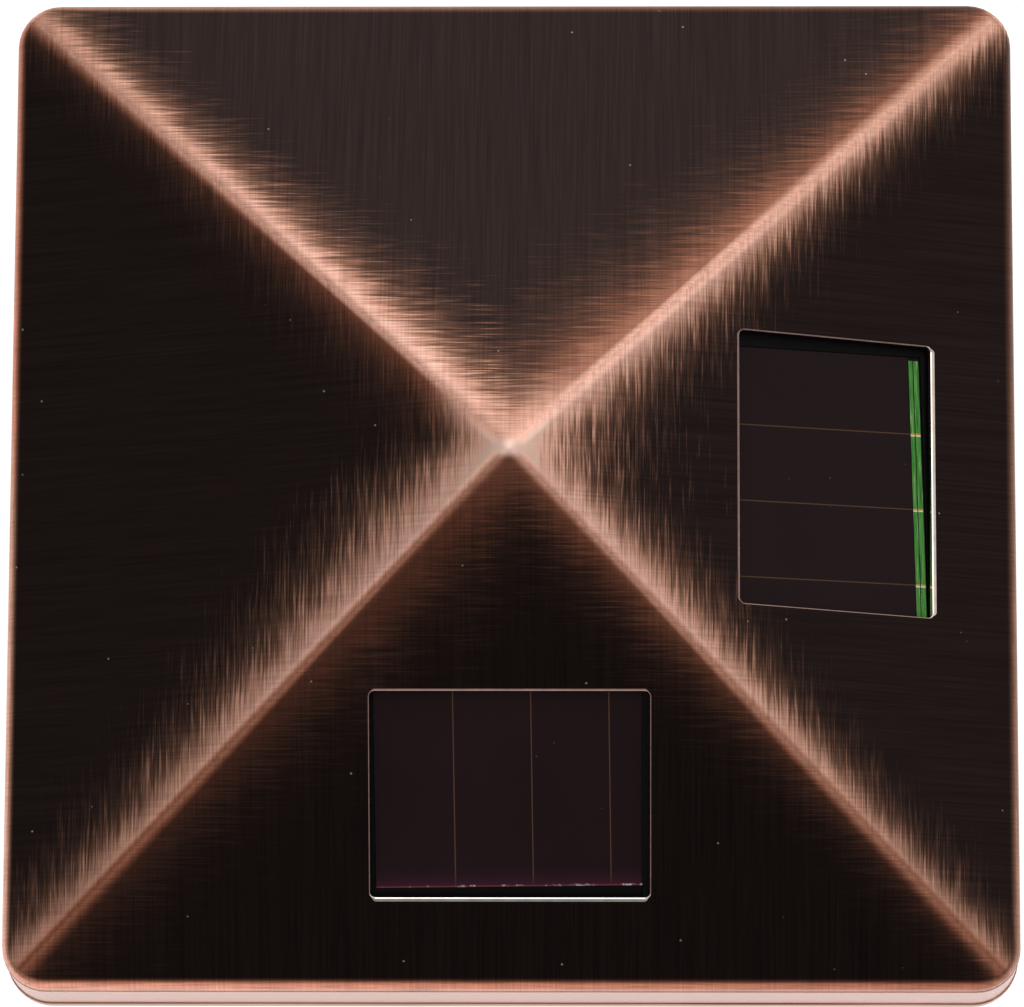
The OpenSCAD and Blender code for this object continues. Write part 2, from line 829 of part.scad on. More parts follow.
module board_screws() {
    color(steel) at_corners(boss_pos) translate([0, 0, 2 * (board_z + board_t)]) mirror([0, 0, 1])
        screw(small_r, small_pilot - 1, small_head_r, small_head_h, board_z + board_t);
}

// Leads that join a part to the board above it, at x, y
module leads(spots, drop) {
    color(nickel) for (p = spots) translate([p[0] - lead_w / 2, p[1] - lead_w / 2, board_z - drop])
        cube([lead_w, lead_w, drop]);
}

module driver_chip() {
    color("dimgray") translate([chip_x - chip_w / 2, part_y - chip_t / 2, board_z - part_gap - chip_h])
        cube([chip_w, chip_t, chip_h]);
    leads([for (i = [-1.5:1.5]) [chip_x + i * chip_pitch, part_y]], part_gap + lead_w);
}

module inductor() {
    color("seagreen") translate([choke_x - choke_l / 2, part_y, board_z - part_gap - choke_r])
        rotate([0, 90, 0]) cylinder(r = choke_r, h = choke_l, $fn = 48);
    color(nickel) translate([choke_x - choke_l / 2 - lead_w, part_y, board_z - part_gap - choke_r])
        rotate([0, 90, 0]) cylinder(r = lead_w / 2, h = choke_l + 2 * lead_w, $fn = 16);
    leads([for (side = [-1, 1]) [choke_x + side * (choke_l / 2 + lead_w), part_y]], part_gap + choke_r);
}

module capacitor() {
    color("navy") translate([capacitor_x, capacitor_y, board_z - part_gap - capacitor_h])
        cylinder(r = capacitor_r, h = capacitor_h, $fn = 48);
    leads([for (side = [-1, 1]) [capacitor_x, capacitor_y + side * capacitor_r / 3]], part_gap + lead_w);
}

module lamp(turn) {
    foot_x = box_in / 2 - lamp_foot_t;
    color(clear_acrylic) rotate([0, 0, turn]) translate([0, 0, lamp_z]) {
        translate([foot_x, 0, 0]) rotate([0, 90, 0]) {
            cylinder(r = lamp_r + lamp_flange, h = lamp_foot_t - touch, $fn = 48);
            cylinder(r = lamp_r, h = lamp_l - lamp_r, $fn = 48);
        }
        translate([foot_x + lamp_l - lamp_r, 0, 0]) sphere(lamp_r, $fn = 48);
        color(nickel) for (y = [-1, 1])
            translate([foot_x - lamp_leg, y * leg_pitch / 2 - leg_w / 2, -leg_w / 2]) {
                cube([lamp_leg + lamp_foot_t / 2, leg_w, leg_w]);
                cube([leg_w, leg_w, board_z - lamp_z + leg_w / 2]);
            }
    }
}

// ---------------------------------------------------------------- switch

module switch_body() {
    cavity_w = knob_foot_w + switch_travel + 2 * cavity_gap;
    cavity_d = knob_d + 2 * cavity_gap;
    cavity_h = knob_lift + knob_foot_h + cavity_gap;
    translate([0, switch_y, cover_top]) {
        color(steel) difference() {
            union() {
                translate([-switch_w / 2, -switch_d / 2, 0]) cube([switch_w, switch_d, switch_h]);
                translate([-switch_ear_w / 2, -switch_d / 2, 0])
                    cube([switch_ear_w, switch_d, switch_ear_t]);
            }
            translate([-cavity_w / 2, -cavity_d / 2, -1]) cube([cavity_w, cavity_d, cavity_h + 1]);
            for (x = [-1, 1]) translate([x * switch_screw_x, 0, -1])
                cylinder(r = switch_screw_r + slip, h = 3, $fn = 32);
        }
        color(nickel) for (x = [-1, 0, 1])
            translate([x * terminal_pitch - terminal_w / 2, -terminal_t / 2, switch_h])
                cube([terminal_w, terminal_t, terminal_l]);
    }
}

module switch_knob() {
    foot_z = cover_top + knob_lift;
    color("white") translate([-switch_travel / 2, switch_y - knob_d / 2, 0]) {
        translate([-knob_w / 2, 0, knob_z]) cube([knob_w, knob_d, foot_z + knob_foot_h / 2 - knob_z]);
        translate([-knob_foot_w / 2, 0, foot_z]) cube([knob_foot_w, knob_d, knob_foot_h]);
    }
}

module switch_screws() {
    top = cover_top + switch_ear_t;
    color(steel) for (x = [-1, 1])
        translate([x * switch_screw_x, switch_y, 2 * top]) mirror([0, 0, 1])
            screw(switch_screw_r, switch_screw_l, switch_screw_head_r, switch_screw_head_h, top);
}

module switch_wires() {
    foot = cover_top + switch_h + terminal_l;
    for (x = [-1, 0]) color(x < 0 ? wire_red : black_abs) wire(
        [x * terminal_pitch, switch_y, foot + touch],
        [x * terminal_pitch, switch_y, foot + wire_bend],
        [x * terminal_pitch, switch_y - wire_bend, board_z - wire_bend],
        [x * terminal_pitch, switch_y - wire_bend, board_z - touch],
        [1, 0, 0]
    );
}

// ---------------------------------------------------------------- base

// The post stands against the seat, which has a joggle round it
seat_w = post_w;
seat_r = collar_r;

module base_plate() {
    color(copper) difference() {
        union() {
            ring(plate_w, plate_r, seat_w - base_t, seat_r - base_t / 2, plate_z, base_t);
            slab(seat_w, seat_w, seat_r, seat_z, base_t);
            ring(plate_w, plate_r, plate_w - 2 * base_t, plate_r - base_t, deck_z - edge_h, edge_h);
        }
        slab(opening_w, opening_w, opening_r, seat_z - 1, seat_step + base_t + 2);
        at_corners(pillar_pos) translate([0, 0, plate_z - 1])
            cylinder(r = base_screw_r + slip, h = base_t + 2, $fn = 32);
        peg_slots();
    }
}

module base_screws() {
    color(steel) at_corners(pillar_pos)
        screw(base_screw_r, base_screw_l, base_head_r, base_head_h, plate_z);
}

module post_collar() {
    color(copper) difference() {
        union() {
            ring(collar_out, collar_r + base_t, collar_in, collar_r, 0, plate_z);
            ring(collar_out + 2 * base_t, collar_r + 2 * base_t, collar_in, collar_r, 0, hem_h);
            ring(2 * flange_half, flange_r, collar_in, collar_r, plate_z - base_t, base_t);
        }
        for (turn = [LEFT, RIGHT]) rotate([0, 0, turn]) for (y = [-1, 1])
            translate([collar_in / 2 - 1, y * post_hole_pitch / 2, collar_h / 2]) rotate([0, 90, 0])
                cylinder(r = post_hole_r, h = base_t + 2, $fn = 48);
    }
}

// ---------------------------------------------------------------- nodes

roof_cap();
roof_adhesive();
cell_sealant(CELL_FRONT);  // cell_sealant_front
cell_sealant(CELL_RIGHT);  // cell_sealant_right
solar_cell(CELL_FRONT);  // solar_cell_front
solar_cell(CELL_RIGHT);  // solar_cell_right
cell_wires(CELL_FRONT);  // cell_wires_front
cell_wires(CELL_RIGHT);  // cell_wires_right
lens_ring();
inner_housing();
housing_seal();
bottom_cover();
cover_screws();
battery_door();
hinge_pin();
battery();
contact_positive();
contact_negative();
contact_spring();
battery_wires();
circuit_board();
board_screws();
driver_chip();
inductor();
capacitor();
lamp(FRONT);  // lamp_front
lamp(RIGHT);  // lamp_right
lamp(BACK);  // lamp_back
lamp(LEFT);  // lamp_left
switch_body();
switch_knob();
switch_screws();
switch_wires();
base_plate();
base_screws();
post_collar();
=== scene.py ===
"""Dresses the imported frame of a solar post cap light: pieces, finishes, studio and camera."""
import logging
import math
from contextlib import contextmanager
from dataclasses import dataclass, field
from enum import Enum
from typing import Any, Callable, Iterator, Optional, Sequence

import bmesh
import bpy
from mathutils import Matrix, Vector


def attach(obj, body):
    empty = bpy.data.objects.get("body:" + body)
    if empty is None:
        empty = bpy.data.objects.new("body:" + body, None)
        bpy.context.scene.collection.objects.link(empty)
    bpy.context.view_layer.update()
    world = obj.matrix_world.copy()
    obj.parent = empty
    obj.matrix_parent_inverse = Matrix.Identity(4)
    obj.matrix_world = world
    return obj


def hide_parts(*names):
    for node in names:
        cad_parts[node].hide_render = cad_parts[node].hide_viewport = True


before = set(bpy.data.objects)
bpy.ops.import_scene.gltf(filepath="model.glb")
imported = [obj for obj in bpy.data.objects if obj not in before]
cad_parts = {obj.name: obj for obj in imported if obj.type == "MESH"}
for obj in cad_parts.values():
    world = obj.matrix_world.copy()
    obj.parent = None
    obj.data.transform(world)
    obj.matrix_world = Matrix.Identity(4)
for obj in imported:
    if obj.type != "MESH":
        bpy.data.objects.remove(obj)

MM = 0.001
PILLAR = 51.956  # the plate's screws from both middle lines, in millimetres
BOX = 28.5  # the screws of the cover and the board from them
QUARTER = math.pi / 2
Piece = bpy.types.Object
Tree = bpy.types.NodeTree
log = logging.getLogger("post_cap_light")


class Side(Enum):
    """A side of the square, as its turn about +Z in degrees."""

    RIGHT = 0
    BACK = 90
    LEFT = 180
    FRONT = -90

    @property
    def turn(self) -> Matrix:
        """The turn from the right-hand side to this one."""
        return Matrix.Rotation(math.radians(self.value), 4, "Z")


class Kind(Enum):
    """What a selection in edit mode is made of."""

    VERT = "verts"
    EDGE = "edges"
    FACE = "faces"


# ---------------------------------------------------------------- bench: shaping pieces


def put_down() -> None:
    """Leaves edit mode and deselects everything."""
    if bpy.context.object and bpy.context.object.mode != "OBJECT":
        bpy.ops.object.mode_set(mode="OBJECT")
    bpy.ops.object.select_all(action="DESELECT")


def pick_up(piece: Piece) -> None:
    """Makes one piece active and the only one selected."""
    put_down()
    piece.select_set(True)
    bpy.context.view_layer.objects.active = piece


@contextmanager
def editing(piece: Piece) -> Iterator[None]:
    """Edit mode on one piece, with nothing in it selected."""
    pick_up(piece)
    bpy.ops.object.mode_set(mode="EDIT")
    bpy.ops.mesh.select_all(action="DESELECT")
    yield
    bpy.ops.object.mode_set(mode="OBJECT")


def select(piece: Piece, kind: Kind, test: Callable[[Any], bool]) -> int:
    """Selects what passes a test, in edit mode.

    Args:
        piece: the piece that is being edited.
        kind: vertices, edges or faces.
        test: takes the vertex, edge or face.

    Returns:
        How many were selected.
    """
    bpy.ops.mesh.select_mode(type=kind.name)
    bpy.ops.mesh.select_all(action="DESELECT")
    mesh = bmesh.from_edit_mesh(piece.data)
    mesh.normal_update()
    found = [item for item in getattr(mesh, kind.value) if test(item)]
    for item in found:
        item.select_set(True)
    bmesh.update_edit_mesh(piece.data)
    return len(found)


def newest(name: str) -> Piece:
    """Names the primitive that was just added, puts its place into its mesh and returns it."""
    piece = bpy.context.object
    piece.name = piece.data.name = name
    pick_up(piece)
    bpy.ops.object.transform_apply(location=True, rotation=True, scale=True)
    return piece


def place(piece: Piece, spot: Matrix) -> Piece:
    """Moves a piece by a matrix and puts its place into its mesh."""
    pick_up(piece)
    piece.matrix_world = spot
    bpy.ops.object.transform_apply(location=True, rotation=True, scale=True)
    return piece


def modify(piece: Piece, kind: str, **settings: Any) -> None:
    """Adds a modifier to a piece, sets it and applies it."""
    pick_up(piece)
    modifier = piece.modifiers.new(kind.lower(), kind)
    for key, value in settings.items():
        setattr(modifier, key, value)
    bpy.ops.object.modifier_apply(modifier=modifier.name)


def discard(piece: Piece) -> None:
    """Deletes a helper piece."""
    bpy.data.objects.remove(piece, do_unlink=True)


def together(name: str, pieces: Sequence[Piece]) -> Piece:
    """Joins pieces into one and names it."""
    pick_up(pieces[0])
    for piece in pieces:
        piece.select_set(True)
    if len(pieces) > 1:
        bpy.ops.object.join()
    pieces[0].name = pieces[0].data.name = name
    return pieces[0]


def cut(piece: Piece, cutters: Sequence[Piece]) -> None:
    """Cuts the cutters out of a piece and deletes them."""
    cutter = together("cutter", list(cutters))
    modify(piece, "BOOLEAN", object=cutter, operation="DIFFERENCE", solver="EXACT")
    discard(cutter)


def smooth(piece: Piece, angle: float = 35.0) -> None:
    """Shades a piece smooth, keeps edges over the angle sharp and lets its flats stay flat."""
    pick_up(piece)
    bpy.ops.object.shade_smooth_by_angle(angle=math.radians(angle))
    modify(piece, "WEIGHTED_NORMAL", mode="FACE_AREA", weight=80, keep_sharp=True)


def ease(piece: Piece, width: float, segments: int = 2) -> Piece:
    """Rounds a piece's sharp edges over that many millimetres."""
    modify(piece, "BEVEL", width=width * MM, segments=segments, limit_method="ANGLE")
    return piece


def shift(x: float, y: float, z: float) -> Matrix:
    """A shift in millimetres."""
    return Matrix.Translation(Vector((x, y, z)) * MM)


def paint(piece: Piece, index: int, test: Callable[[Any], bool]) -> None:
    """Gives the faces that pass a test another of the piece's materials, in edit mode."""
    select(piece, Kind.FACE, test)
    piece.active_material_index = index
    bpy.ops.object.material_slot_assign()


def weld(reach: float) -> None:
    """Merges the vertices that are that near to one another in millimetres, in edit mode."""
    bpy.ops.mesh.select_all(action="SELECT")
    bpy.ops.mesh.remove_doubles(threshold=reach * MM)


def tidy(piece: Piece, reach: float = 0.002) -> None:
    """Merges doubles and turns all faces outwards."""
    with editing(piece):
        weld(reach)
        bpy.ops.mesh.normals_make_consistent(inside=False)


@dataclass(frozen=True)
class Ring:
    """A level outline: a square with round corners, in millimetres."""

    half: float
    z: float
    corner: float


@dataclass(frozen=True)
class Knee:
    """A corner of a profile: half width, height, corner radius from above, its own rounding."""

    half: float
    z: float
    corner: float
    bend: float = 0.0

    def spot(self) -> Vector:
        """The corner as a point of the profile."""
        return Vector((self.half, self.z))


def bent(knees: Sequence[Knee], steps: int = 4) -> list[Ring]:
    """Rounds the corners of a closed profile.

    Args:
        knees: the corners in order round the profile.
        steps: spans in each rounding.

    Returns:
        The outlines that a closed loft goes through.
    """
    rings = []
    for i, knee in enumerate(knees):
        if not knee.bend:
            rings.append(Ring(knee.half, knee.z, knee.corner))
            continue
        here = knee.spot()
        back = (knees[i - 1].spot() - here).normalized()
        ahead = (knees[(i + 1) % len(knees)].spot() - here).normalized()
        half_angle = back.angle(ahead) / 2
        middle = here + (back + ahead).normalized() * knee.bend / math.sin(half_angle)
        reach = knee.bend / math.tan(half_angle)
        first, last = here + back * reach - middle, here + ahead * reach - middle
        for step in range(steps + 1):
            p = middle + first.slerp(last, step / steps).normalized() * knee.bend
            rings.append(Ring(p.x, p.y, max(knee.corner + p.x - knee.half, 0.02)))
    return rings


def loft(name: str, rings: Sequence[Ring], segments: int, closed: bool) -> Piece:
    """Skins a row of round-cornered squares, each added as a plane with bevelled corners.

    Args:
        name: the piece's name.
        rings: the outlines in order.
        segments: spans in each round corner.
        closed: whether the last outline is joined to the first.

    Returns:
        The skinned piece.
    """
    put_down()
    bpy.ops.mesh.primitive_plane_add(size=MM, location=(0, 0, 0))
    piece = newest(name)
    with editing(piece):
        bpy.ops.mesh.select_all(action="SELECT")
        bpy.ops.mesh.delete(type="VERT")
        for count, ring in enumerate(rings, 1):
            bpy.ops.mesh.primitive_plane_add(size=2 * ring.half * MM, location=(0, 0, ring.z * MM))
            bpy.ops.mesh.bevel(
                offset=ring.corner * MM, segments=segments, affect="VERTICES", clamp_overlap=False
            )
            mesh = bmesh.from_edit_mesh(piece.data)
            layer = mesh.verts.layers.int.get("ring") or mesh.verts.layers.int.new("ring")
            for vert in mesh.verts:
                vert[layer] = vert[layer] or count
            bmesh.update_edit_mesh(piece.data)
        bpy.ops.mesh.select_mode(type="FACE")
        bpy.ops.mesh.select_all(action="SELECT")
        bpy.ops.mesh.delete(type="ONLY_FACE")
        pairs = [(i, i + 1) for i in range(1, len(rings))] + [(len(rings), 1)] * closed
        for pair in pairs:
            layer = bmesh.from_edit_mesh(piece.data).verts.layers.int["ring"]
            select(
                piece,
                Kind.EDGE,
                lambda e: e.verts[0][layer] == e.verts[1][layer] and e.verts[0][layer] in pair,
            )
            bpy.ops.mesh.bridge_edge_loops()
    piece.data.attributes.remove(piece.data.attributes["ring"])
    tidy(piece)
    return piece


def turned(name: str, profile: Sequence[tuple[float, float]], sides: int = 32) -> Piece:
    """Turns a solid about +Z by extruding a circle and resizing it at each step.

    Args:
        name: the piece's name.
        profile: radius and height at each step, in millimetres, from one end to the other.
        sides: how many sides the circle has.

    Returns:
        The turned piece, with both ends closed.
    """
    put_down()
    radius, height = profile[0]
    bpy.ops.mesh.primitive_circle_add(
        vertices=sides, radius=radius * MM, fill_type="NGON", location=(0, 0, height * MM)
    )
    piece = newest(name)
    with editing(piece):
        bpy.ops.mesh.select_all(action="SELECT")
        for new_radius, new_height in profile[1:]:
            bpy.ops.mesh.extrude_region_move(
                TRANSFORM_OT_translate={"value": (0, 0, (new_height - height) * MM)}
            )
            ratio = new_radius / radius
            bpy.ops.transform.resize(
                value=(ratio, ratio, 1), center_override=(0, 0, new_height * MM)
            )
            radius, height = new_radius, new_height
    tidy(piece, 0.0005)
    return piece


def block(name: str, size: Vector, middle: Optional[Vector] = None) -> Piece:
    """Adds a box of a size in millimetres round a middle point, or round the origin."""
    put_down()
    bpy.ops.mesh.primitive_cube_add(size=MM)
    piece = newest(name)
    spot = Matrix.Translation((middle or Vector((0, 0, 0))) * MM)
    return place(piece, spot @ Matrix.Diagonal((*size, 1)))


def refined(node: str, edge: float, angle: float = 40.0, steps: int = 2) -> Piece:
    """Copies a CAD node, merges its triangles into clean faces and breaks its sharp edges.

    Args:
        node: the CAD node's name.
        edge: width of the rounding on its edges, in millimetres.
        angle: edges sharper than this are rounded.
        steps: spans in the rounding.

    Returns:
        The new piece, which stands where the node is.
    """
    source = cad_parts[node]
    piece = bpy.data.objects.new(node + "_piece", source.data.copy())
    bpy.context.collection.objects.link(piece)
    piece.data.materials.clear()
    with editing(piece):
        weld(0.002)
        bpy.ops.mesh.dissolve_limited(angle_limit=math.radians(1.5))
    modify(
        piece, "BEVEL", width=edge * MM, segments=steps, limit_method="ANGLE",
        angle_limit=math.radians(angle), use_clamp_overlap=True, loop_slide=False,
    )
    smooth(piece, angle)
    return piece


# ---------------------------------------------------------------- bench: finishes


def linear(colour: str) -> tuple[float, float, float, float]:
    """Turns an sRGB hex value such as "#b87358" into linear red, green, blue and alpha."""
    parts = [int(colour[i : i + 2], 16) / 255 for i in (1, 3, 5)]
    return (*(p / 12.92 if p <= 0.04045 else ((p + 0.055) / 1.055) ** 2.4 for p in parts), 1.0)


def emptied(holder: Any) -> Tree:
    """The node tree of a material or a world, with nothing in it."""
    holder.use_nodes = True
    holder.node_tree.nodes.clear()
    return holder.node_tree


def add_node(
    tree: Tree, kind: str, links: Optional[dict] = None, **settings: Any
) -> Any:
    """Adds one node, with its settings, values and links.

    Args:
        tree: the node tree.
        kind: the node's type, without its leading ShaderNode.
        links: for each input, by name or number, a value or the socket that feeds it.
        settings: the node's properties; stops are a ramp's places, each with a hex colour,
            a value or three values.

    Returns:
        The node.
    """
    node = tree.nodes.new("ShaderNode" + kind)
    for key, value in settings.items():
        if key != "stops":
            setattr(node, key, value)
            continue
        while len(node.color_ramp.elements) < len(value):
            node.color_ramp.elements.new(0.5)
        for element, (spot, colour) in zip(node.color_ramp.elements, value):
            element.position = spot
            if isinstance(colour, str):
                element.color = linear(colour)
            else:
                element.color = (*(colour if isinstance(colour, tuple) else (colour,) * 3), 1)
    for key, value in (links or {}).items():
        if isinstance(value, bpy.types.NodeSocket):
            tree.links.new(value, node.inputs[key])
        else:
            node.inputs[key].default_value = value
    return node


def times(tree: Tree, one: Any, other: Any) -> Any:
    """One value times another, as a socket."""
    return maths(tree, "MULTIPLY", one, other)


def maths(tree: Tree, operation: str, *values: Any) -> Any:
    """The result of one sum on values or sockets, as a socket."""
    return add_node(tree, "Math", dict(enumerate(values)), operation=operation).outputs[0]


def spread(
    tree: Tree, value: Any, low: Any, high: Any, at_low: Any, at_high: Any,
    soft: bool = False,
) -> Any:
    """Carries low to high over to at_low to at_high, and holds the ends, as a socket."""
    kind = "SMOOTHSTEP" if soft else "LINEAR"
    return add_node(
        tree, "MapRange", {0: value, 1: low, 2: high, 3: at_low, 4: at_high},
        interpolation_type=kind,
    ).outputs[0]


def blend(tree: Tree, share: Any, one: Any, other: Any) -> Any:
    """Goes from one value to another by a share, as a socket."""
    return add_node(tree, "Mix", {0: share, 2: one, 3: other}).outputs[0]


def tint(tree: Tree, share: Any, under: Any, over: Any, way: str = "MIX") -> Any:
    """Lays one colour over another by a share, as a socket."""
    return add_node(
        tree, "Mix", {0: share, 6: under, 7: over}, data_type="RGBA", blend_type=way
    ).outputs[2]


def ramp(tree: Tree, value: Any, stops: Sequence[tuple]) -> Any:
    """Reads a colour or a value off a row of stops, as a socket."""
    return add_node(tree, "ValToRGB", {0: value}, stops=stops).outputs[0]


def noise(
    tree: Tree, spot: Any, scale: float, detail: float = 2.0, rough: float = 0.5
) -> Any:
    """Noise from 0 to 1 with that many waves per unit, as a socket."""
    return add_node(
        tree, "TexNoise", {"Vector": spot, "Scale": scale, "Detail": detail, "Roughness": rough}
    ).outputs["Fac"]


def stretched(tree: Tree, spot: Any, by: Any) -> Any:
    """A place with each of its coordinates scaled, as a socket."""
    return add_node(tree, "VectorMath", {0: spot, 1: by}, operation="MULTIPLY").outputs[0]


def feed(shader: Any, name: str, value: Any) -> None:
    """Links a socket to one of a shader's inputs, or sets a value there."""
    if isinstance(value, bpy.types.NodeSocket):
        shader.id_data.links.new(value, shader.inputs[name])
    else:
        shader.inputs[name].default_value = value


def relief(
    tree: Tree, shader: Any, height: Any, deep: float, strength: float
) -> None:
    """Gives a shader bumps from a field of heights, up to a depth in metres."""
    bump = add_node(tree, "Bump", {"Height": height, "Distance": deep, "Strength": strength})
    feed(shader, "Normal", bump.outputs[0])


def grey(tree: Tree, value: Any) -> Any:
    """A value as a grey colour, as a socket."""
    return add_node(tree, "CombineColor", {0: value, 1: value, 2: value}).outputs[0]


@dataclass(frozen=True)
class Finish:
    """A material: its name, and the values that are the same all over."""

    name: str
    colour: str = "#808080"
    metallic: float = 0.0
    roughness: float = 0.5
    slot: str = ""

    def build(self) -> bpy.types.Material:
        """Makes the material once and returns it."""
        material = bpy.data.materials.get(self.name)
        if material is None:
            material = bpy.data.materials.new(self.name)
            tree = emptied(material)
            shader = add_node(tree, "BsdfPrincipled")
            feed(shader, "Base Color", linear(self.colour))
            feed(shader, "Metallic", self.metallic)
            feed(shader, "Roughness", self.roughness)
            add_node(tree, "OutputMaterial", {"Surface": shader.outputs[0]})
            self.detail(tree, shader)
        return material

    def detail(self, tree: Tree, shader: Any) -> None:
        """Adds what varies over the surface."""

    def millimetres(self, tree: Tree) -> Any:
        """Object coordinates in millimetres, as a socket."""
        spot = add_node(tree, "TexCoord")
        return stretched(tree, spot.outputs["Object"], (1000,) * 3)


@dataclass(frozen=True)
class Lie:
    """Where a point of the roof lies, as sockets in millimetres unless they say otherwise."""

    axes: Any  # x, y and z
    level: Any  # the place seen from above
    slope: Any  # x along the eave and y down the slope, on all four sides
    far: Any  # from the apex, square to the eave
    gap: Any  # from the nearest hip
    away: Any  # share of the way from the apex to the rim
    to_right: Any  # 1 on the right-hand face, -1 on the left-hand one
    to_back: Any  # 1 on the back face, -1 on the front one
    back: Any  # 1 on the back face, 0 on the others
    reach: Any  # how far the rubbing of this eighth goes, over 30
    bright: Any  # how bright the painted light is there
    face_shade: Any  # how light the patina is painted there, as shade that differs by side, over 2


@dataclass(frozen=True)
class PatinaCopper(Finish):
    """Copper plate brushed down each slope, stained dark, then rubbed back on hips, apex and rim.

    The eye sees near-black brown faces with fine lines, and bright ragged strokes at the hips.
    Light and shade are painted into the colour: each side and hip is lit or shaded in its own
    way, and a highlight is painted on the tip.
    """

    apex: float = 19.0  # reach of the rubbed patch round the apex, in millimetres
    rim_z: float = 41.55  # height under which the rim is rubbed bright
    crest: float = 1.5  # half width of a hip's crest, where both its sides shine alike
    half: float = 63.5  # half width of the roof
    on_face: float = 0.995  # how near to 1 a share has to be, to be on that face
    # Round the roof in eighths from the right: how far the rubbing reaches from a hip in
    # millimetres, how bright its painted light is, and how light the patina is painted as shade
    eighths: tuple = (
        (15.0, 1.00, 0.76), (23.0, 0.36, 1.12), (16.0, 0.95, 1.12), (15.0, 0.20, 0.66),
        (21.0, 0.98, 0.66), (29.0, 0.17, 0.50), (17.0, 0.23, 0.50), (15.0, 1.00, 0.76),
    )

    def stops(self) -> list[tuple[float, tuple[float, float, float]]]:
        """The eighths as a ramp: sudden at the hips and gradual in the middle of each face."""
        marks = []
        for i, (reach, bright, face_shade) in enumerate(self.eighths):
            value = (reach / 30, bright, face_shade / 2)
            low, high = i / 8, (i + 1) / 8
            low += 0.0003 if i % 2 else 0.025
            high -= 0.025 if i % 2 else 0.0003
            marks += [(low, value), (high, value)]
        return marks

    def lie(self, tree: Tree, mm: Any) -> Lie:
        """Finds where a point of the roof lies."""
        axes = add_node(tree, "SeparateXYZ", {0: mm}).outputs
        wide, deep = maths(tree, "ABSOLUTE", axes["X"]), maths(tree, "ABSOLUTE", axes["Y"])
        far, near = maths(tree, "MAXIMUM", wide, deep), maths(tree, "MINIMUM", wide, deep)
        level = add_node(tree, "CombineXYZ", {0: axes["X"], 1: axes["Y"], 2: 0.0}).outputs[0]
        crossed = add_node(tree, "CombineXYZ", {0: axes["Y"], 1: axes["X"], 2: 37.0}).outputs[0]
        on_y = maths(tree, "GREATER_THAN", deep, wide)
        slope = add_node(
            tree, "Mix", {0: on_y, 4: crossed, 5: level}, data_type="VECTOR"
        ).outputs[1]
        ray = maths(tree, "ARCTAN2", axes["Y"], axes["X"])
        ray = maths(tree, "DIVIDE", maths(tree, "WRAP", ray, 0.0, math.tau), math.tau)
        part = add_node(tree, "SeparateColor", {0: ramp(tree, ray, self.stops())}).outputs
        safe = maths(tree, "MAXIMUM", far, 0.001)
        to_back = maths(tree, "DIVIDE", axes["Y"], safe)
        return Lie(
            axes, level, slope, far, maths(tree, "SUBTRACT", far, near),
            maths(tree, "DIVIDE", far, self.half), maths(tree, "DIVIDE", axes["X"], safe), to_back,
            maths(tree, "GREATER_THAN", to_back, self.on_face), *part,
        )

    def lines(
        self, tree: Tree, spot: Any, across: float, down: float, detail: float = 2.0
    ) -> Any:
        """Noise of that many waves per millimetre along the eave and down the slope."""
        return noise(tree, stretched(tree, spot, (across, down, 1.0)), 1.0, detail, 0.6)

    def brightness(self, tree: Tree, lie: Lie) -> Any:
        """How bright the copper is painted where it is rubbed: light and shade painted by side and
        by hip, as a socket.
        """
        # The crest of a hip is between its two sides, and narrower near the corner; its painted
        # light is a little stronger at the back and on the right
        crest = maths(tree, "MULTIPLY_ADD", lie.away, -0.7, self.crest)
        crest = maths(tree, "DIVIDE", lie.gap, crest)
        crest = spread(tree, crest, 0.0, 1.0, 0.0, 1.0, soft=True)
        ridge = maths(tree, "MULTIPLY_ADD", lie.to_back, 0.14, 0.58)
        ridge = maths(tree, "MULTIPLY_ADD", lie.to_right, 0.06, ridge)
        # Round the apex the eighths run into one another: painted shade keeps only the front dark,
        # and the back a little duller
        front = maths(tree, "LESS_THAN", lie.to_back, -self.on_face)
        face = maths(tree, "MULTIPLY_ADD", front, -0.72, 0.95)
        face = maths(tree, "MULTIPLY_ADD", lie.back, -0.28, face)
        near_apex = spread(tree, lie.far, 1.5, 12.0, 1.0, 0.0, soft=True)
        bright = blend(tree, near_apex, lie.bright, face)
        bright = blend(tree, crest, ridge, bright)
        # The painted light fades towards the corners, more so at the front
        fade = maths(tree, "MULTIPLY_ADD", lie.to_back, 0.13, -0.4)
        fade = maths(tree, "MULTIPLY_ADD", fade, lie.away, 1.08)
        return times(tree, bright, fade)

    def strokes_off(
        self, tree: Tree, lie: Lie, strokes: Any, rubs: Any
    ) -> Any:
        """How far the stain is rubbed off along the hips and round the apex, as a socket."""
        width = times(tree, lie.reach, spread(tree, lie.away, 0.1, 0.75, 38.0, 22.0))
        uneven = times(
            tree, spread(tree, strokes, 0.3, 0.7, 1.55, 0.62),
            spread(tree, rubs, 0.25, 0.75, 1.2, 0.82),
        )
        off = times(tree, maths(tree, "DIVIDE", lie.gap, width), uneven)
        hips = ramp(
            tree, off, [(0, 1.0), (0.09, 1.0), (0.21, 0.62), (0.33, 0.33), (0.46, 0.17),
                        (0.62, 0.08), (0.8, 0.03), (1, 0.0)]
        )
        patch = times(tree, maths(tree, "DIVIDE", lie.far, self.apex), uneven)
        apex = ramp(
            tree, patch, [(0, 1.0), (0.2, 0.92), (0.36, 0.55), (0.5, 0.26), (0.75, 0.1), (1, 0.0)]
        )
        return maths(tree, "MAXIMUM", hips, apex)

    def tip(self, tree: Tree, lie: Lie) -> Any:
        """Where a highlight is painted on the very tip: a patch wider than it is deep, as a socket.
        """
        tip = add_node(
            tree, "VectorMath", {0: lie.level, 1: (0.42, 0.78, 0.0), 2: (0.0, 0.10, 0.0)},
            operation="MULTIPLY_ADD",
        ).outputs[0]
        tip = add_node(tree, "VectorMath", {0: tip}, operation="LENGTH").outputs["Value"]
        return spread(tree, tip, 0.3, 1.25, 1.0, 0.0, soft=True)

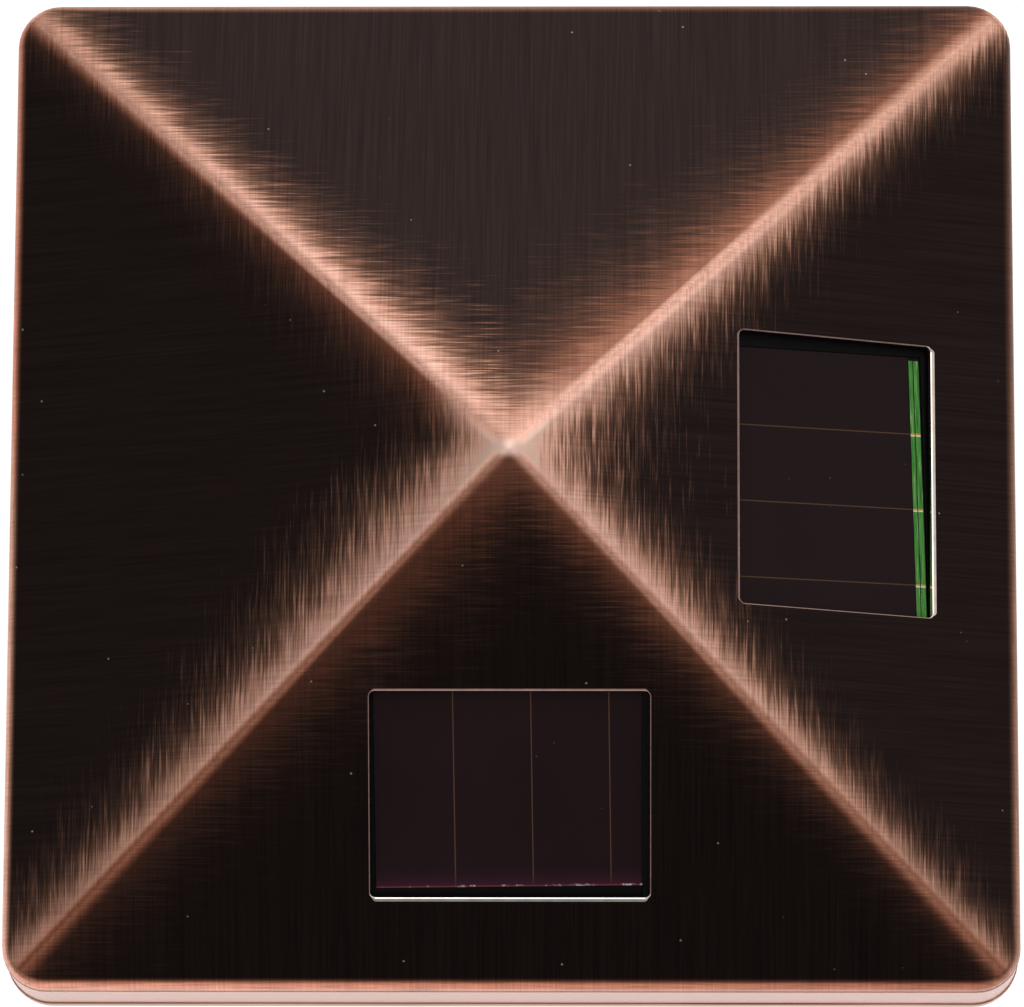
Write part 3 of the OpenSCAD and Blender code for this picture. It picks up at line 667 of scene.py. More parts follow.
    def halo(self, tree: Tree, lie: Lie, bright: Any) -> Any:
        """The painted highlight that spreads left and right from the tip, a little less behind it.
        """
        halo = stretched(tree, lie.level, (0.1, 0.11, 0.0))
        halo = add_node(tree, "VectorMath", {0: halo}, operation="LENGTH").outputs["Value"]
        halo = times(tree, spread(tree, halo, 0.05, 1.0, 0.95, 0.0, soft=True), bright)
        return times(tree, halo, maths(tree, "MULTIPLY_ADD", lie.back, -0.8, 1.0))

    def rim(self, tree: Tree, lie: Lie) -> Any:
        """How far the rim is rubbed, and how much lighter it is made at the front and on the left,
        as a socket.
        """
        rim = spread(tree, lie.axes["Z"], self.rim_z - 0.4, self.rim_z, 1.0, 0.0, soft=True)
        share = maths(tree, "MULTIPLY_ADD", lie.to_back, -0.13, 0.37)
        return times(tree, rim, maths(tree, "MULTIPLY_ADD", lie.to_right, -0.15, share))

    def detail(self, tree: Tree, shader: Any) -> None:
        """Adds the brush lines, the rubbed strokes, the stain, the dust, and the painted light,
        shade and highlights.
        """
        mm = self.millimetres(tree)
        lie = self.lie(tree, mm)
        sway = add_node(tree, "TexNoise", {"Vector": mm, "Scale": 0.12, "Detail": 1.0})
        sway = add_node(
            tree, "VectorMath", {0: sway.outputs["Color"], 1: (0.3, 0.3, 0.0), 2: lie.slope},
            operation="MULTIPLY_ADD",
        ).outputs[0]
        brushed = self.lines(tree, lie.slope, 3.6, 0.06, 3.0)
        bands = self.lines(tree, lie.slope, 0.7, 0.02)
        strokes = self.lines(tree, sway, 0.15, 4.6)
        rubs = self.lines(tree, sway, 0.10, 1.1)
        bright = self.brightness(tree, lie)
        tip, halo = self.tip(tree, lie), self.halo(tree, lie, bright)
        # Rim wear, with the painted highlight on the tip and round it
        wear_and_highlight = maths(tree, "MAXIMUM", maths(tree, "MAXIMUM", tip, self.rim(tree, lie)), halo)
        # Rubbed wear, scaled by the painted light of each side
        wear_and_light = times(tree, self.strokes_off(tree, lie, strokes, rubs), bright)
        wear_and_light = maths(tree, "MAXIMUM", wear_and_light, wear_and_highlight)
        metal = ramp(
            tree, wear_and_light, [(0, "#312624"), (0.1, "#5a4036"), (0.25, "#86604f"), (0.55, "#cc9781"),
                           (1, "#ffc6b2")]
        )
        # Brush lines show in the stain, strokes where it is rubbed
        shade = times(
            tree, spread(tree, brushed, 0.2, 0.8, 0.66, 1.34),
            spread(tree, bands, 0.2, 0.8, 0.88, 1.12),
        )
        # The patina's tone, with painted shade that differs from side to side
        shaded = times(tree, shade, times(tree, lie.face_shade, 2.0))
        fine = times(
            tree, spread(tree, strokes, 0.3, 0.7, 0.72, 1.2),
            spread(tree, brushed, 0.25, 0.75, 0.78, 1.2),
        )
        clear = spread(tree, wear_and_light, 0.0, 0.25, 0.0, 1.0)
        tone = blend(tree, clear, shaded, fine)
        # The painted highlight round the apex and on the tip lightens the tone
        tone = blend(tree, halo, tone, 1.25)
        tone = blend(tree, tip, tone, 1.0)
        # Where the painted light is dim, the rubbed copper is made deeper in colour than where it
        # is bright
        outside_wear_and_highlight = maths(tree, "SUBTRACT", 1.0, wear_and_highlight)
        deeper = times(tree, spread(tree, bright, 0.12, 0.5, 1.0, 0.0), outside_wear_and_highlight)
        deeper = times(tree, deeper, clear)
        deep_colour = tint(tree, deeper, (1, 1, 1, 1), (1.05, 0.62, 0.48, 1))
        metal = tint(tree, 1.0, metal, grey(tree, tone), "MULTIPLY")
        metal = tint(tree, 1.0, metal, deep_colour, "MULTIPLY")
        # Painted highlight: the tip turns near-white
        metal = tint(tree, tip, metal, linear("#ffd9c9"))
        # Sparse specks of dust, about 0.15 mm across
        cells = add_node(tree, "TexVoronoi", {"Vector": mm, "Scale": 0.26, "Randomness": 1.0})
        speck = spread(tree, cells.outputs["Distance"], 0.02, 0.045, 1.0, 0.0)
        lucky = add_node(tree, "SeparateColor", {0: cells.outputs["Color"]}).outputs[0]
        lucky = maths(tree, "GREATER_THAN", lucky, 0.45)
        speck = times(tree, times(tree, speck, lucky), 0.5)
        feed(shader, "Base Color", tint(tree, speck, metal, linear("#cfc4ba")))
        rough = spread(tree, wear_and_light, 0.0, 1.0, 0.4, 0.27)
        rough = maths(tree, "MULTIPLY_ADD", speck, 0.3, rough)
        feed(shader, "Roughness", blend(tree, tip, rough, 0.45))
        height = blend(tree, tip, blend(tree, wear_and_light, brushed, strokes), 0.5)
        relief(tree, shader, height, 0.00003, 0.35)


@dataclass(frozen=True)
class BrushedCopper(Finish):
    """Antique copper plate with a light satin brushing, lightly stained in its lows."""

    dark: str = "#8a5c4b"
    waves: tuple[float, float, float] = (0.05, 0.05, 5.0)  # lines per millimetre along each axis

    def detail(self, tree: Tree, shader: Any) -> None:
        """Adds level brush lines and a cloudy stain."""
        mm = self.millimetres(tree)
        lines = noise(tree, stretched(tree, mm, self.waves), 1.0, 3.0)
        mask = maths(tree, "MULTIPLY_ADD", noise(tree, mm, 0.04), 0.4, lines)
        metal = ramp(tree, mask, [(0.42, self.dark), (0.95, self.colour)])
        feed(shader, "Base Color", metal)
        feed(shader, "Roughness", spread(tree, lines, 0.0, 1.0, 0.24, 0.42))
        relief(tree, shader, lines, 0.00002, 0.3)


@dataclass(frozen=True)
class Moulded(Finish):
    """A moulded or cast stuff: an even colour, a fine grain to the touch and a faint cloudiness."""

    grain: float = 4.0  # bumps per millimetre
    relief: float = 0.02  # millimetres
    cloud: float = 0.12  # how far the colour varies
    shine: float = 0.5  # how much its skin reflects

    def detail(self, tree: Tree, shader: Any) -> None:
        """Adds the grain, the cloudiness and a spread of roughness."""
        mm = self.millimetres(tree)
        grain = noise(tree, mm, self.grain, 2.0)
        cloud = noise(tree, mm, 0.15, 3.0)
        tone = grey(tree, spread(tree, cloud, 0.25, 0.75, 1 - self.cloud, 1 + self.cloud))
        feed(shader, "Base Color", tint(tree, 1.0, linear(self.colour), tone, "MULTIPLY"))
        feed(shader, "Specular IOR Level", self.shine)
        low, high = self.roughness * 0.85, min(self.roughness * 1.15, 1)
        feed(shader, "Roughness", spread(tree, grain, 0.0, 1.0, low, high))
        relief(tree, shader, grain, self.relief * MM, 0.6)


@dataclass(frozen=True)
class Plated(Finish):
    """A bright metal with a mottled sheen: plated steel, or the bare edge of the copper."""

    def detail(self, tree: Tree, shader: Any) -> None:
        """Adds the mottle."""
        mm = self.millimetres(tree)
        mottle = noise(tree, mm, 0.9, 4.0)
        tone = grey(tree, spread(tree, mottle, 0.25, 0.75, 0.82, 1.1))
        feed(shader, "Base Color", tint(tree, 1.0, linear(self.colour), tone, "MULTIPLY"))
        low, high = self.roughness * 0.7, self.roughness * 1.3
        feed(shader, "Roughness", spread(tree, mottle, 0.0, 1.0, low, high))


@dataclass(frozen=True)
class Clear(Finish):
    """A clear moulding or casting: bright edges, and what lies behind it shows through."""

    ior: float = 1.49
    clearness: float = 1.0

    def detail(self, tree: Tree, shader: Any) -> None:
        """Lets light through, with a faint flow in the surface."""
        feed(shader, "Transmission Weight", self.clearness)
        feed(shader, "IOR", self.ior)
        relief(tree, shader, noise(tree, self.millimetres(tree), 0.12), 0.0001, 0.15)


@dataclass(frozen=True)
class CellFilm(Finish):
    """An amorphous silicon film behind glass: near-black plum under a clear gloss.

    Tan scribe lines part its strips, and a bare margin with contact strips shows green.
    The pattern follows the pane's own UV map, in millimetres from its middle: u along the
    strips' row and v down the slope.
    """

    pitch: float = 9.66  # width of a strip
    half_length: float = 15.5
    lighter: str = "#271a1d"  # where the film is cloudy
    bus: bool = False  # a green contact strip at the lower end
    glow: bool = False  # a purple sheen at the lower end

    def detail(self, tree: Tree, shader: Any) -> None:
        """Adds the strips, the scribe lines, the margins and the dust on the glass."""
        uv = add_node(tree, "UVMap", uv_map="pane").outputs[0]
        axes = add_node(tree, "SeparateXYZ", {0: uv}).outputs
        mm = self.millimetres(tree)
        cloud = noise(tree, mm, 0.08, 2.0)
        film = ramp(tree, cloud, [(0.3, self.colour), (0.7, self.lighter)])

        def band(value: Any, middle: float, half: float, soft: float = 0.03) -> Any:
            """1 where a value lies within half of a middle, and 0 away from it."""
            off = maths(tree, "ABSOLUTE", maths(tree, "SUBTRACT", value, middle))
            return spread(tree, off, half - soft, half + soft, 1.0, 0.0)

        def over(under: Any, mask: Any, colour: str, share: float = 1.0) -> Any:
            """Lays a colour over another where a mask says."""
            if share != 1.0:
                mask = times(tree, mask, share)
            return tint(tree, mask, under, linear(colour))

        wave = maths(tree, "DIVIDE", axes[0], self.pitch)
        wave = maths(tree, "SUBTRACT", wave, maths(tree, "ROUND", wave))
        scribe = band(wave, 0.0, 0.065 / self.pitch, 0.03 / self.pitch)
        within = band(axes[0], 0.0, 1.6 * self.pitch)
        film = over(film, times(tree, scribe, within), "#5d4433")
        if self.glow:
            off = spread(tree, axes[1], self.half_length - 3.2, self.half_length - 0.3, 0.0, 1.0)
            film = over(film, maths(tree, "POWER", off, 2.5), "#4a2335", 0.8)
            film = over(film, band(axes[1], self.half_length - 0.2, 0.09), "#8f4a48", 0.55)
            # Glue crumbs along the lower edge, painted near-white as glints
            glue_and_glints = spread(tree, noise(tree, uv, 0.35, 6.0, 0.8), 0.53, 0.6, 0.0, 1.0)
            glue_and_glints = times(tree, glue_and_glints, band(axes[1], self.half_length - 0.2, 0.16))
            film = over(film, glue_and_glints, "#f2e6e0", 0.85)
        if self.bus:
            streak = noise(tree, stretched(tree, uv, (0.22, 11.0, 1.0)), 1.0, 3.0)
            green = ramp(
                tree, streak, [(0.3, "#12301c"), (0.4, "#2f7a3c"), (0.5, "#5c9c3c"),
                               (0.56, "#3f9a52"), (0.64, "#8fbf5a"), (0.7, "#d9ead0")]
            )
            edge = self.half_length
            strips = maths(
                tree, "MAXIMUM", band(axes[1], edge - 1.36, 0.27), band(axes[1], edge - 0.63, 0.33)
            )
            whole = band(axes[0], 0.0, 1.98 * self.pitch)
            strips = times(tree, strips, whole)
            film = over(film, band(axes[1], edge - 0.8, 0.95), "#0b0d0b")
            film = tint(tree, strips, film, green)
            for spot, half, colour in ((0.0, 0.011, "#d9a847"), (-0.019, 0.008, "#f4efe2")):
                tick = times(tree, band(wave, spot, half, 0.003), strips)
                tick = times(tree, tick, within)
                film = over(film, tick, colour)
        margin = maths(
            tree, "GREATER_THAN", maths(tree, "ABSOLUTE", axes[1]), self.half_length - 0.12
        )
        film = over(film, margin, "#070708")
        cells = add_node(tree, "TexVoronoi", {"Vector": mm, "Scale": 0.35})
        speck = spread(tree, cells.outputs["Distance"], 0.015, 0.035, 0.5, 0.0)
        film = over(film, speck, "#8f8884")
        feed(shader, "Base Color", film)
        feed(shader, "IOR", 1.52)
        feed(shader, "Specular IOR Level", 0.07)
        feed(shader, "Roughness", spread(tree, cloud, 0.0, 1.0, 0.1, 0.2))


@dataclass(frozen=True)
class Leads(Moulded):
    """Two runs of insulation in one node: the second colour takes the points past a plane."""

    colour: str = "#9a1f1f"
    roughness: float = 0.35
    slot: str = "wire_sleeve"
    grain: float = 2.0
    relief: float = 0.01
    other: str = "#141415"
    normal: tuple[float, float, float] = (1.0, 0.0, 0.0)
    level: float = 0.0  # millimetres

    def detail(self, tree: Tree, shader: Any) -> None:
        """Adds the moulded look, then picks the colour by place."""
        super().detail(tree, shader)
        mm = self.millimetres(tree)
        past = add_node(
            tree, "VectorMath", {0: mm, 1: self.normal}, operation="DOT_PRODUCT"
        ).outputs["Value"]
        past = maths(tree, "GREATER_THAN", past, self.level)
        under = shader.inputs["Base Color"].links[0].from_socket
        feed(shader, "Base Color", tint(tree, past, under, linear(self.other)))


@dataclass(frozen=True)
class BoardMask(Finish):
    """Solder mask over etched copper: a deep green gloss with paler tracks and tinned pads."""

    def detail(self, tree: Tree, shader: Any) -> None:
        """Adds tracks on a 5 mm grid, pads and the weave under the mask."""
        mm = self.millimetres(tree)
        tracks = add_node(
            tree, "TexVoronoi", {"Vector": mm, "Scale": 0.2, "Randomness": 0.6},
            distance="MANHATTAN", feature="F1",
        )
        line = spread(tree, tracks.outputs["Distance"], 0.62, 0.66, 0.0, 1.0)
        pad = spread(tree, tracks.outputs["Distance"], 0.16, 0.18, 1.0, 0.0)
        weave = noise(tree, mm, 2.5, 2.0)
        mask = ramp(tree, weave, [(0.3, "#123d22"), (0.7, self.colour)])
        mask = tint(tree, line, mask, linear("#3f8a4f"))
        mask = tint(tree, pad, mask, linear("#b9b9b4"))
        feed(shader, "Base Color", mask)
        feed(shader, "Metallic", pad)
        feed(shader, "Roughness", spread(tree, weave, 0.0, 1.0, 0.22, 0.38))
        relief(tree, shader, line, 0.00003, 0.6)


ROOF = PatinaCopper("patina_brushed_copper", "#3c2f2c", 1.0, slot="patina_copper")
COPPER = BrushedCopper("satin_brushed_copper", "#d8a48e", 1.0, 0.33, slot="brushed_copper")
# The plate under the band is brushed the same way, from side to side
PLATE = BrushedCopper("satin_brushed_plate", "#d8a48e", 1.0, 0.33, slot="brushed_copper",
                      waves=(0.05, 4.5, 0.3))
# The punch leaves the sheet's edge bare: a cool bright metal line, kept on the lower side of each
# window as the lit copy of the edge
CUT_EDGE = Plated("punched_bare_edge", "#fbe9de", 1.0, 0.12, slot="patina_copper")
# The other three sides of a window: the same edge in a darker copy, as painted shade
SHADED_EDGE = Plated("punched_stained_edge", "#a98a80", 1.0, 0.2, slot="patina_copper")
# Cured silicone is soft to look at: a satin skin over a body with no grain
SILICONE = Moulded("cured_silicone", "#d9d7cf", 0.0, 0.45, "silicone", 0.8, 0.03)
BLACK_SILICONE = Moulded(
    "black_sealant", "#060505", 0.0, 0.5, "black_silicone", 0.9, 0.08, shine=0.1
)
# Pale acrylic that lets a third of the light straight through: soft shadows behind it; its pink
# tint is a painted reflection of the copper round it
ACRYLIC = Clear("frosted_clear_acrylic", "#ffcabb", 0.0, 0.3, "clear_acrylic", 1.49, 0.35)
LED_EPOXY = Clear("cast_clear_epoxy", "#f6f6ee", 0.0, 0.05, "lamp_epoxy", 1.54)
# Black ABS from a spark-eroded mould: matt, with a grain of about 0.2 mm
ABS = Moulded("moulded_black_abs", "#161617", 0.0, 0.48, "black_abs", 4.5, 0.012)
NYLON = Moulded("moulded_white_nylon", "#dedcd4", 0.0, 0.42, "white_nylon", 3.0, 0.01)
FOAM = Moulded("closed_cell_foam", "#101011", 0.0, 0.95, "seal_rubber", 6.0, 0.08)
ZINC = Plated("zinc_plated_steel", "#c6c8ca", 1.0, 0.30, slot="screw_steel")
TIN = Plated("tinned_steel_frame", "#b9b9b6", 1.0, 0.36, slot="switch_steel")
NICKEL = Plated("nickel_plated_strip", "#d2ccc0", 1.0, 0.2, slot="nickel_plate")
# Shrink sleeve: thin gloss film, tight over the can
SLEEVE = Moulded("green_shrink_sleeve", "#2f6b46", 0.0, 0.24, "battery_sleeve", 1.2, 0.01)
CAP_SLEEVE = Moulded("blue_shrink_sleeve", "#1c2760", 0.0, 0.28, "capacitor_sleeve", 1.2, 0.01)
LACQUER = Moulded("green_lacquer", "#2c7a4c", 0.0, 0.2, "choke_lacquer", 2.0, 0.02)
EPOXY = Moulded("black_moulding_epoxy", "#1b1b1c", 0.0, 0.55, "chip_epoxy", 8.0, 0.01)
BOARD = BoardMask("green_solder_mask", "#1b5a33", 0.0, 0.3, "board_laminate")
CELL_FRONT = CellFilm("film_cell_under_glass", "#23171a", 0.0, 0.3, "cell_glass", glow=True)
CELL_RIGHT = CellFilm("film_cell_with_margin", "#241919", 0.0, 0.3, "cell_glass", bus=True)
LEADS_RIGHT = Leads("insulated_leads_right", normal=(0.0, 1.0, 0.0))
LEADS_FRONT = Leads("insulated_leads_front")
LEADS_SWITCH = Leads("insulated_leads_switch", level=-1.25)
LEADS_BATTERY = Leads("insulated_leads_battery", "#141415", other="#9a1f1f")


def dress(piece: Piece, finish: Finish) -> None:
    """Gives a piece, or a CAD node, one finish all over."""
    piece.data.materials.clear()
    piece.data.materials.append(finish.build())


def hand_over(piece: Piece, body: str, finish: Finish, *nodes: str) -> None:
    """Fixes a new piece to its body in place of CAD nodes, and reports it.

    Args:
        piece: the finished piece.
        body: the body that it rides on.
        finish: what it is made of.
        nodes: the CAD nodes that it stands for.
    """
    if not piece.data.materials:
        dress(piece, finish)
    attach(piece, body)
    if nodes:
        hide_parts(*nodes)
    log.info("%s rides on %s: %d faces", piece.name, body, len(piece.data.polygons))


def dress_node(finish: Finish, *nodes: str) -> None:
    """Gives CAD nodes a finish through their material slots."""
    for name in nodes:
        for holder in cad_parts[name].material_slots:
            holder.material = finish.build()
        log.info("%s dressed as %s", name, finish.name)


def copies(piece: Piece, spots: Sequence[Matrix]) -> list[Piece]:
    """Puts a copy of a piece, with its own mesh, at each spot, and deletes the pattern.

    Args:
        piece: the pattern, modelled about the origin.
        spots: where each copy goes.

    Returns:
        The copies.
    """
    made = []
    for spot in spots:
        twin = bpy.data.objects.new(piece.name, piece.data.copy())
        bpy.context.collection.objects.link(twin)
        made.append(place(twin, spot))
    discard(piece)
    return made


# ---------------------------------------------------------------- the light's own pieces


@dataclass
class Roof:
    """The pressed roof: a low pyramid with soft hips, a turned rim and a window in two faces."""

    half: float = 63.5
    corner: float = 5.5
    shoulder: float = 38.4
    rim: float = 41.0
    peak: float = 67.0  # where the slopes would meet
    sheet: float = 0.8
    bend: float = 1.6
    crown: float = 3.0
    hip: float = 2.0
    hip_half: float = 54.7
    window: tuple[float, float] = (27.0, 35.0)  # down the slope, along the eave
    window_middle: float = 44.0
    window_corner: float = 0.65
    roll: float = 0.16  # width of the rolled edge at the ends of a window
    low_share: float = 3.2  # how many times wider it is along the lower side
    high_share: float = 2.1  # and along the upper side

    @property
    def rise(self) -> float:
        """Height over half width of a slope."""
        return (self.peak - self.rim) / self.half

    @property
    def pitch(self) -> float:
        """Angle of a slope to the level."""
        return math.atan(self.rise)

    def height(self, half: float) -> float:
        """Height of a slope at that distance from the middle."""
        return self.rim + (self.half - half) * self.rise

    def slope(self, side: Side) -> Matrix:
        """The frame of a face in metres: x down from the peak, y along the eave, z out."""
        return side.turn @ shift(0, 0, self.peak) @ Matrix.Rotation(self.pitch, 4, "Y")

    def outlines(self) -> list[Ring]:
        """The outlines of the outer face, from the lower edge of the rim to the crown."""
        rings = [Ring(self.half, self.shoulder, self.corner)]
        middle = self.half - self.bend
        drop = self.bend / math.cos(self.pitch)
        height = self.height(middle) - drop
        last = QUARTER - self.pitch
        for step in range(7):
            a = last * step / 6
            half = middle + self.bend * math.cos(a)
            corner = self.corner - self.half + half
            rings.append(Ring(half, height + self.bend * math.sin(a), corner))
        start = rings[-1]
        for step in range(1, 7):
            t = step / 6
            half = start.half + (self.hip_half - start.half) * t
            corner = self.hip + (start.corner - self.hip) * (1 - t) ** 2
            rings.append(Ring(half, self.height(half), corner))
        rings += [Ring(half, self.height(half), self.hip) for half in (44, 32, 20, 10, 4, 2)]
        middle = self.peak - self.crown / math.cos(self.pitch)
        for share in (1.0, 0.75, 0.5, 0.25, 0.08):
            half = self.crown * math.sin(self.pitch * share)
            rings.append(Ring(half, middle + self.crown * math.cos(self.pitch * share),
                              min(self.hip, half * 0.96)))
        return rings

    def punch(self, piece: Piece, side: Side) -> None:
        """Lays a face level, punches its window, rolls the edge inwards and turns the face back.

        Args:
            piece: the pressed sheet.
            side: which face.
        """
        place(piece, self.slope(side).inverted())
        down, along = self.window
        thin = self.roll
        low, high = self.window_middle + down / 2, self.window_middle - down / 2
        low, high = low - thin * self.low_share, high + thin * self.high_share
        middle, size = (low + high) / 2, Vector((low - high, along - 2 * thin, 8))
        bar = block("window_bar", size)
        with editing(bar):
            select(bar, Kind.EDGE, lambda e: abs(e.verts[0].co.z - e.verts[1].co.z) > MM)
            bpy.ops.mesh.bevel(offset=self.window_corner * MM, segments=5, clamp_overlap=False)
        cut(piece, [place(bar, shift(middle, 0, 0))])

        def around(item: Any, floor: float) -> bool:
            """Whether an edge or a face is part of the window's outline, above that height."""
            return all(
                high - thin < v.co.x / MM < low + thin and abs(v.co.y) / MM < along / 2
                and floor < v.co.z / MM < 0.05 for v in item.verts
            )

        def shaded(face: Any) -> bool:
            """Whether a face of the cut edge is on one of the three sides that take the painted
            shade.
            """
            at = face.calc_center_median() / MM
            return face.material_index == 1 and abs(at.y) < along / 2 + 1 and at.x < low - 0.3

        with editing(piece):
            weld(0.001)
            paint(piece, 1, lambda f: around(f, -1.2))
            select(piece, Kind.EDGE, lambda e: around(e, -0.05))
            bpy.ops.mesh.bevel(
                offset=thin * MM, segments=4, clamp_overlap=False, loop_slide=False, material=1
            )
            # The three other sides of the rolled edge get the darker copy of its metal: painted
            # shade
            paint(piece, 2, shaded)
            for line, share, way in ((low, self.low_share, 1), (high, self.high_share, -1)):
                select(
                    piece, Kind.VERT,
                    lambda v: 0.004 < (v.co.x / MM - line) * way < thin * 1.2
                    and abs(v.co.y) / MM < along / 2 + 0.01 and v.co.z / MM > -thin * 1.2,
                )
                bpy.ops.transform.resize(
                    value=(share, 1, 1), center_override=(line * MM, 0, 0)
                )
        place(piece, self.slope(side))

    def build(self) -> Piece:
        """Presses the sheet, punches its windows and fixes it on the body."""
        rings = self.outlines()
        piece = loft("roof_shell", rings, 8, closed=False)
        with editing(piece):
            top = rings[-1].z * MM
            select(piece, Kind.VERT, lambda v: v.co.z > top - 0.001 * MM)
            bpy.ops.mesh.merge(type="CENTER")
            bpy.ops.mesh.select_all(action="SELECT")
            bpy.ops.mesh.normals_make_consistent(inside=False)
        modify(piece, "SOLIDIFY", thickness=self.sheet * MM, offset=-1, use_even_offset=True)
        dress(piece, ROOF)
        piece.data.materials.append(CUT_EDGE.build())
        piece.data.materials.append(SHADED_EDGE.build())
        self.punch(piece, Side.RIGHT)
        self.punch(piece, Side.FRONT)
        smooth(piece, 32)
        hand_over(piece, "fixture", ROOF, "roof_cap")
        return piece


@dataclass
class SolarCell:
    """A film cell on glass under a window, a little off its middle and a little askew."""

    side: Side
    name: str
    finish: CellFilm
    lower: float  # down the slope from the window's middle
    slip: float  # along the eave
    skew: float  # degrees
    size: tuple[float, float, float] = (31.0, 39.2, 1.8)
    sunk: float = 1.4  # of its face under the roof's

    def build(self, roof: Roof) -> Piece:
        """Cuts the pane, breaks its edges and lays its pattern out in millimetres."""
        down, along, thick = self.size
        pane = block(f"{self.name}_pane", Vector(self.size), Vector((0, 0, -thick / 2)))
        ease(pane, 0.18)
        chart = pane.data.uv_layers.new(name="pane")
        for loop in pane.data.loops:
            spot = pane.data.vertices[loop.vertex_index].co / MM
            chart.data[loop.index].uv = (spot.y, spot.x)
        smooth(pane, 30)
        middle = shift(roof.window_middle + self.lower, self.slip, -self.sunk)
        skew = Matrix.Rotation(math.radians(self.skew), 4, "Z")
        place(pane, roof.slope(self.side) @ middle @ skew)
        hand_over(pane, "fixture", self.finish, self.name)
        return pane


@dataclass
class LightBand:
    """The acrylic ring between roof and plate, with locating ribs on its inner face."""

    half: float = 63.6
    corner: float = 5.6
    inner: float = 61.2
    lip: float = 62.55
    low: float = 28.9
    high: float = 38.4
    top: float = 39.6
    rib_size: tuple[float, float, float] = (1.9, 2.0, 9.5)
    rib_x: float = 60.55
    rib_y: float = 52.0
    rib_z: float = 32.05

    def build(self) -> Piece:
        """Casts the ring with soft edges and joins its ribs."""
        near = self.corner - self.half
        knees = [
            Knee(self.half, self.low, self.corner, 0.15),
            Knee(self.half, self.high, self.corner, 0.12),
            Knee(self.lip, self.high, near + self.lip, 0.2),
            Knee(self.lip, self.top, near + self.lip, 0.3),
            Knee(self.inner, self.top, near + self.inner, 0.3),
            Knee(self.inner, self.low, near + self.inner, 0.35),
        ]
        piece = loft("light_band", bent(knees), 12, closed=True)
        ribs = []
        for side in Side:
            for y in (-self.rib_y, self.rib_y):
                rib = ease(block("rib", Vector(self.rib_size)), 0.25)
                ribs.append(place(rib, side.turn @ shift(self.rib_x, y, self.rib_z)))
        bars = together("ribs", ribs)
        modify(piece, "BOOLEAN", object=bars, operation="UNION", solver="EXACT")
        discard(bars)
        smooth(piece, 32)
        hand_over(piece, "fixture", ACRYLIC, "lens_ring")
        return piece


def corners(half: float, height: float, upright: bool = True) -> list[Matrix]:
    """Places at the four corners of a square, the screws' tips up or down."""
    turn = Matrix.Identity(4) if upright else Matrix.Rotation(math.pi, 4, "X")
    return [shift(x * half, y * half, height) @ turn for x in (-1, 1) for y in (-1, 1)]


@dataclass
class Fasteners:
    """Pan-head cross-recess screws of one size, all in one piece."""

    name: str
    node: str
    spots: list[Matrix]
    head: float  # radius
    head_deep: float
    shank: float
    long: float

    def build(self) -> Piece:
        """Turns one screw, cuts its cross recess and copies it to each spot."""
        r, h = self.head, self.head_deep
        profile = [(r * 0.35, -h), (r * 0.72, -h * 0.94), (r * 0.93, -h * 0.66), (r, -h * 0.3),
                   (r, 0), (self.shank, 0)]
        turns = max(int(self.long / 0.7) - 1, 1)
        pitch = (self.long - 0.6) / turns
        for turn in range(turns):
            low = pitch * turn
            profile += [(self.shank * 0.78, low + 0.1), (self.shank * 0.8, low + pitch * 0.55),
                        (self.shank, low + pitch * 0.8)]
        profile += [(self.shank * 0.7, self.long - 0.5), (self.shank * 0.15, self.long)]
        screw = turned(self.name, profile, 24)
        for angle in (0, QUARTER):
            arm = block("arm", Vector((r * 1.1, r * 0.24, h * 0.9)), Vector((0, 0, -h)))
            cut(screw, [place(arm, Matrix.Rotation(angle, 4, "Z"))])
        smooth(screw, 30)
        piece = together(self.name, copies(screw, self.spots))
        hand_over(piece, "fixture", ZINC, self.node)
        return piece


@dataclass
class Lamps:
    """Four clear 3 mm lamps with a collar at the foot and two bent legs up to the board."""

    foot: float = 30.0  # distance from the middle of the box
    height: float = 34.1
    radius: float = 1.5
    long: float = 5.4
    board: float = 46.2
    leg: float = 0.5

    def build(self) -> None:
        """Casts one lamp, bends its legs and puts a copy on each side."""
        radius, straight = self.radius, self.long - self.radius
        profile = [(1.9, 0.0), (1.9, 0.85), (1.8, 0.95), (radius, 1.0), (radius, straight)]
        for step in range(1, 9):
            a = QUARTER * step / 8
            profile.append((max(radius * math.cos(a), 0.04), straight + radius * math.sin(a)))
        bulb = turned("lamp", profile, 32)
        smooth(bulb, 40)
        dress(bulb, LED_EPOXY)
        place(bulb, shift(self.foot, 0, 0) @ Matrix.Rotation(QUARTER, 4, "Y"))
        legs = []
        rise = self.board - self.height
        for y in (-1.27, 1.27):
            run = block("leg_run", Vector((2.9, self.leg, self.leg)),
                        Vector((self.foot - 0.95, y, 0)))
            post = block("leg_post", Vector((self.leg, self.leg, rise + self.leg / 2)),
                         Vector((self.foot - 2.15, y, rise / 2 - self.leg / 4)))
            for part in (run, post):
                dress(ease(part, 0.08), NICKEL)
                legs.append(part)
        pattern = together("lamp", [bulb, *legs])
        place(pattern, shift(0, 0, self.height))
        for side, lamp in zip(Side, copies(pattern, [side.turn for side in Side])):
            name = "lamp_" + side.name.lower()
            lamp.name = lamp.data.name = name + "_piece"
            hand_over(lamp, "fixture", LED_EPOXY, name)


